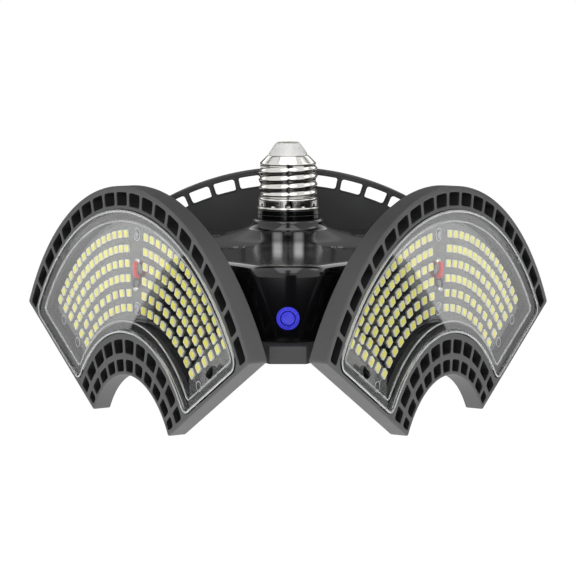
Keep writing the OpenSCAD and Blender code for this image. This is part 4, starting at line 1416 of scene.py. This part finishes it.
@dataclass
class Underside:
    """Base plate and hinge hardware, whose shapes come from the CAD with softened edges.

    Attributes:
        screw_x: distance of a bracket's screws from its middle.
        screw_in: distance of those screws from the lamp's axis.
        screw_z: height of their seats above the plate's underside.
        half_span: half the distance between the two hinges of a panel.
    """

    screw_x: float = 4.0
    screw_in: float = 51.6
    screw_z: float = 0.8
    half_span: float = 26.0

    def build(self) -> None:
        """Makes the plate, the brackets, the pins, and the bracket screws, each at its own turn."""
        soften_node("base_plate", "dark_grey_plate", 0.6)
        soften_node("hinge_brackets", "zinc_steel", 0.2)
        soften_node("hinge_pins", "zinc_steel", 0.15)
        places = [turn_by(a) @ shift(s * self.half_span + x, self.screw_in, self.screw_z)
                  @ turn_by(180, "X") @ turn_by(40 * x + 25 * s + a)
                  for a in (0, 120, 240) for s in (-1, 1) for x in (-self.screw_x, self.screw_x)]
        screws = stamped(CrossScrew(2.0, 0.8, 1.1, 5.0, 1.2).build(), places)
        finish_piece("bracket_screw_heads", screws, shift(0, 0, PLATE_Z), "hub", ["zinc_steel"],
                     ["bracket_screws"])


# Studio, in metres


@dataclass(frozen=True)
class Lamp:
    """Soft rectangular lamp, aimed at the object.

    Attributes:
        name: the lamp's name.
        width: its width.
        height: its height.
        power: its power in watts.
        where: where it stands.
    """

    name: str
    width: float
    height: float
    power: float
    where: tuple[float, float, float]

    def build(self) -> None:
        """Makes the lamp."""
        data = bpy.data.lights.new(self.name, "AREA")
        data.shape = "RECTANGLE"
        data.size, data.size_y, data.energy = self.width, self.height, self.power
        lamp = put_in_scene(self.name, data)
        lamp.location = self.where
        lamp.rotation_euler = (-Vector(self.where)).to_track_quat("-Z", "Y").to_euler()
        lamp.visible_camera = lamp.visible_glossy = False


def hang_card(name: str, bm: BMesh, tone: Callable[[Vector], float], place: Matrix = Matrix.Identity(4),
              seen_by: Sequence[Rays] = (Rays.GLOSSY,)) -> None:
    """Makes a glowing card that only some rays see.

    Args:
        name: the card's name.
        bm: its shape.
        tone: brightness at a point of that shape.
        place: placement of the shape.
        seen_by: the rays that see the card.
    """
    layer = bm.verts.layers.float_color.new("shade")
    for vert in bm.verts:
        vert[layer] = (*[tone(vert.co)] * 3, 1.0)
    bmesh.ops.transform(bm, matrix=place, verts=bm.verts)
    card = put_in_scene(name, to_mesh(bm, name))
    material = bpy.data.materials.new(name)
    tree = empty_tree(material)
    level = add_node(tree, "ShaderNodeAttribute", attribute_name="shade")
    glow = add_node(tree, "ShaderNodeEmission", {"Color": level.outputs["Color"]})
    add_node(tree, "ShaderNodeOutputMaterial", {"Surface": glow.outputs["Emission"]})
    card.data.materials.append(material)
    for rays in Rays:
        setattr(card, rays.value, rays in seen_by)


@dataclass(frozen=True)
class ArcCard:
    """Card that bends round the lamp's axis and that only reflections see.

    Attributes:
        name: the card's name.
        radius: its distance from the axis.
        first: angle of one edge, in degrees from the camera's side towards the right.
        last: angle of its other edge.
        low: height of its lower edge.
        high: height of its upper edge.
        shade: brightness of its lower edge.
        top_shade: brightness of its upper edge.
    """

    name: str
    radius: float
    first: float
    last: float
    low: float
    high: float
    shade: float
    top_shade: float

    def build(self) -> None:
        """Makes the card."""
        bm = bmesh.new()
        foot, head = (bm.verts.new(ray(self.radius, self.first - 90) + up(z))
                      for z in (self.low, self.high))
        bmesh.ops.spin(bm, geom=[foot, head, bm.edges.new((foot, head))], cent=(0, 0, 0), axis=(0, 0, 1),
                       angle=math.radians(self.last - self.first), steps=24, use_merge=False,
                       use_duplicate=False)
        change = self.top_shade - self.shade
        hang_card(self.name, bm,
                  lambda p: self.shade + change * (p.z - self.low) / (self.high - self.low))


@dataclass(frozen=True)
class FlatCard:
    """Rectangular card that faces the object and that only reflections see.

    Attributes:
        name: the card's name.
        width: its width.
        height: its height.
        where: its middle.
        shade: its brightness.
        soft: share of its width and height over which each edge fades to black.
    """

    name: str
    width: float
    height: float
    where: tuple[float, float, float]
    shade: float
    soft: float = 0.0

    def tone(self, p: Vector) -> float:
        """Brightness of the card, whose sides run from -0.5 to 0.5.

        Args:
            p: a point of the card.

        Returns:
            The brightness there.
        """
        if not self.soft:
            return self.shade
        return self.shade * math.prod(min(1.0, (0.5 - abs(c)) / self.soft) for c in (p.x, p.y))

    def build(self) -> None:
        """Makes the card."""
        bm = bmesh.new()
        bmesh.ops.create_grid(bm, x_segments=12, y_segments=12, size=0.5)
        where = Vector(self.where)
        place = (Matrix.Translation(where) @ where.to_track_quat("Z", "Y").to_matrix().to_4x4()
                 @ Matrix.Diagonal((self.width, self.height, 1, 1)))
        hang_card(self.name, bm, self.tone, place)


@dataclass(frozen=True)
class LensCard:
    """Card that a side panel's lens mirrors towards the camera.

    Its outline is that of its patch on the lens, thrown outwards from the point where the camera's
    mirror image stands behind the lens.

    Attributes:
        name: the card's name, after the panel's.
        throw: how far it stands out from the lens, as a share of the camera's distance.
        corners: corners of the patch: radius in millimetres, and angle in degrees from the panel's
            middle towards the front.
        shades: brightness at each corner, or nothing for a black card.
        seen_by: the rays that see it.
    """

    name: str
    throw: float
    corners: tuple[tuple[float, float], ...]
    shades: tuple[float, ...] = ()
    seen_by: tuple[Rays, ...] = (Rays.GLOSSY, Rays.TRANSMISSION)

    def build(self, side: Side) -> None:
        """Makes the card for one panel.

        Args:
            side: the panel.
        """
        panel = Panel(side)
        out, camera = ray(1.0, side.value), Vector(CAMERA_AT)
        bm = bmesh.new()
        for r, angle in self.corners:
            spot = (panel.place @ (polar(r, angle) + up(panel.lens_face))) * MM
            image = camera - out * (2 * (camera - spot).dot(out))
            bm.verts.new(spot + (spot - image) * self.throw)
        bm.faces.new(bm.verts)
        shades = iter(self.shades or [0.0] * len(self.corners))
        hang_card(panel.name(self.name), bm, lambda _: next(shades), seen_by=self.seen_by)


@dataclass
class Studio:
    """White surroundings, a pale floor, soft lamps, cards for the reflections, and the camera.

    Attributes:
        floor_z: height of the floor.
        floor_size: half its width.
        floor_white: brightness at which it is seen, before the shadow's share.
        shadow_share: share of it that takes the object's shadow.
        bounce: brightness of the floor for the object's own shading.
        ambient: brightness of the surroundings for that shading.
        lamps: the lamps.
        cards: what the glossy cover, the collar and the shell mirror.
        lens_cards: what each side panel's lens mirrors.
    """

    floor_z: float = -0.34
    floor_size: float = 20.0
    floor_white: float = 1.13
    shadow_share: float = 0.12
    bounce: float = 2.7
    ambient: float = 0.12
    lamps: tuple[Lamp, ...] = (
        Lamp("front_lamp", 0.6, 0.6, 5.0, (0.0, -1.25, 0.12)),
        Lamp("left_lamp", 0.9, 0.9, 1.8, (-0.9, -0.8, 0.3)),
        Lamp("right_lamp", 0.9, 0.9, 1.8, (0.9, -0.8, 0.3)),
        Lamp("top_lamp", 1.0, 1.0, 0.6, (0.1, 0.5, 1.3)))
    cards: tuple[ArcCard | FlatCard, ...] = (
        ArcCard("front_strip", 1.2, -6, 20, -0.2, 0.4, 0.0, 0.0),
        ArcCard("low_front_card", 0.35, -80, 80, -0.3, -0.047, 0.0, 0.0),
        ArcCard("left_card", 0.25, -146, -80, -0.02, 0.08, 0.2, 0.2),
        ArcCard("right_card", 0.25, 68, 128, -0.02, 0.08, 0.0, 0.0),
        ArcCard("low_back_card", 1.2, 120, 240, -0.1, 0.46, 0.02, 0.26),
        ArcCard("right_back_card", 1.1, 120, 166, 0.42, 1.05, 2.1, 0.03),
        ArcCard("middle_back_card", 1.1, 166, 194, 0.42, 1.05, 0.45, 0.03),
        ArcCard("left_back_card", 1.1, 194, 240, 0.42, 1.05, 2.1, 0.03),
        ArcCard("high_back_card", 1.1, 130, 230, 1.05, 2.05, 0.03, 0.03),
        ArcCard("shoulder_card", 1.1, 96, 119, 0.9, 1.6, 2.4, 2.4),
        FlatCard("softbox_card", 0.9, 1.5, (0.0, -0.35, 0.95), 2.7, 0.12),
        FlatCard("softbox_gap_card", 0.14, 0.8, (0.0, -0.62, 0.6), 0.2),
        FlatCard("left_neck_card", 0.006, 0.0042, (-0.0048, -0.0192, -0.0101), 0.9, 0.3),
        FlatCard("right_neck_card", 0.006, 0.0042, (0.0048, -0.0192, -0.0101), 0.9, 0.3))
    lens_cards: tuple[LensCard, ...] = (
        LensCard("lens_card", 0.3, (
            (54, -9), (58, -4), (64, 1), (77, 10), (85, 14), (95, 18), (104, 22), (118, 30),
            (118, 44), (108, 49), (90, 47), (74, 46), (70, 53), (62, 59), (50, 62), (54, 20))),
        LensCard("lens_end_card", 0.31, ((122, 40), (122, 64), (50, 64), (50, 40)),
                 seen_by=(Rays.GLOSSY,)),
        LensCard("capacitor_card", 0.29, (
            (94.8, 54.1), (93.8, 55.6), (91.4, 56.2), (89.0, 55.6), (88.0, 54.1), (89.0, 52.6),
            (91.4, 52.0), (93.8, 52.6))),
        LensCard("lens_haze_card", 0.34, ((175, -40), (175, 40), (110, 85), (110, -85)),
                 (1.0, 1.0, 0.7, 0.4)))

    def brightness(self, tree: NodeTree, lit: float, seen: float) -> NodeSocket:
        """Brightness for the rays that light the object, and for those that see a surface.

        Args:
            tree: node tree that gets the nodes.
            lit: brightness for diffuse rays.
            seen: brightness for camera, glossy and transmission rays.

        Returns:
            The brightness's socket.
        """
        path = add_node(tree, "ShaderNodeLightPath")
        sight = path.outputs["Is Camera Ray"]
        for kind in ("Is Glossy Ray", "Is Transmission Ray"):
            sight = add_node(tree, "ShaderNodeMath", {0: sight, 1: path.outputs[kind]},
                             operation="MAXIMUM").outputs["Value"]
        level = add_node(tree, "ShaderNodeMapRange", {"Value": sight, "To Min": lit, "To Max": seen})
        return level.outputs["Result"]

    def build_world(self) -> None:
        """Makes surroundings that look white and light the object with a plain grey."""
        world = bpy.data.worlds.new("white_surroundings")
        bpy.context.scene.world = world
        tree = empty_tree(world)
        sky = add_node(tree, "ShaderNodeBackground", {
            "Color": (1, 1, 1, 1), "Strength": self.brightness(tree, self.ambient, 1.0)})
        add_node(tree, "ShaderNodeOutputWorld", {"Surface": sky.outputs["Background"]})

    def build_floor(self) -> None:
        """Makes the floor: mostly its own white, with a share that takes the object's shadow."""
        bm = bmesh.new()
        bmesh.ops.create_grid(bm, x_segments=1, y_segments=1, size=self.floor_size,
                              matrix=shift(0, 0, self.floor_z))
        floor = put_in_scene("floor", to_mesh(bm, "floor"))
        material = bpy.data.materials.new("white_floor")
        tree = empty_tree(material)
        glow = add_node(tree, "ShaderNodeEmission", {
            "Strength": self.brightness(tree, self.bounce, self.floor_white)})
        matt = add_node(tree, "ShaderNodeBsdfDiffuse", {"Color": (0.9, 0.9, 0.9, 1)})
        mix = add_node(tree, "ShaderNodeMixShader", {
            0: self.shadow_share, 1: glow.outputs["Emission"], 2: matt.outputs["BSDF"]})
        add_node(tree, "ShaderNodeOutputMaterial", {"Surface": mix.outputs["Shader"]})
        floor.data.materials.append(material)

    def build_camera(self) -> None:
        """Makes the camera at the photograph's viewing angle."""
        data = bpy.data.cameras.new("camera")
        data.lens, data.sensor_width, data.clip_start = CAMERA_LENS, 36.0, 0.05
        camera = put_in_scene("camera", data)
        camera.location = CAMERA_AT
        camera.rotation_euler = (math.radians(CAMERA_TILT), 0.0, 0.0)
        bpy.context.scene.camera = camera

    def build(self) -> None:
        """Makes the whole studio."""
        bpy.context.scene.view_settings.view_transform = "Standard"
        self.build_camera()
        self.build_world()
        self.build_floor()
        for thing in (*self.lamps, *self.cards):
            thing.build()
        for side in (Side.LEFT, Side.RIGHT):
            for card in self.lens_cards:
                card.build(side)
        log.info("studio built")


def main() -> None:
    """Builds the studio, dresses the CAD nodes and builds the pieces in order."""
    logging.basicConfig(level=logging.INFO, format="%(message)s")
    Studio().build()
    MATERIALS.dress_cad_nodes()
    ScrewBase().build()
    HubCover().build()
    PushButton().build()
    Underside().build()
    for side in Side:
        Panel(side).build()


if __name__ == "__main__":
    main()
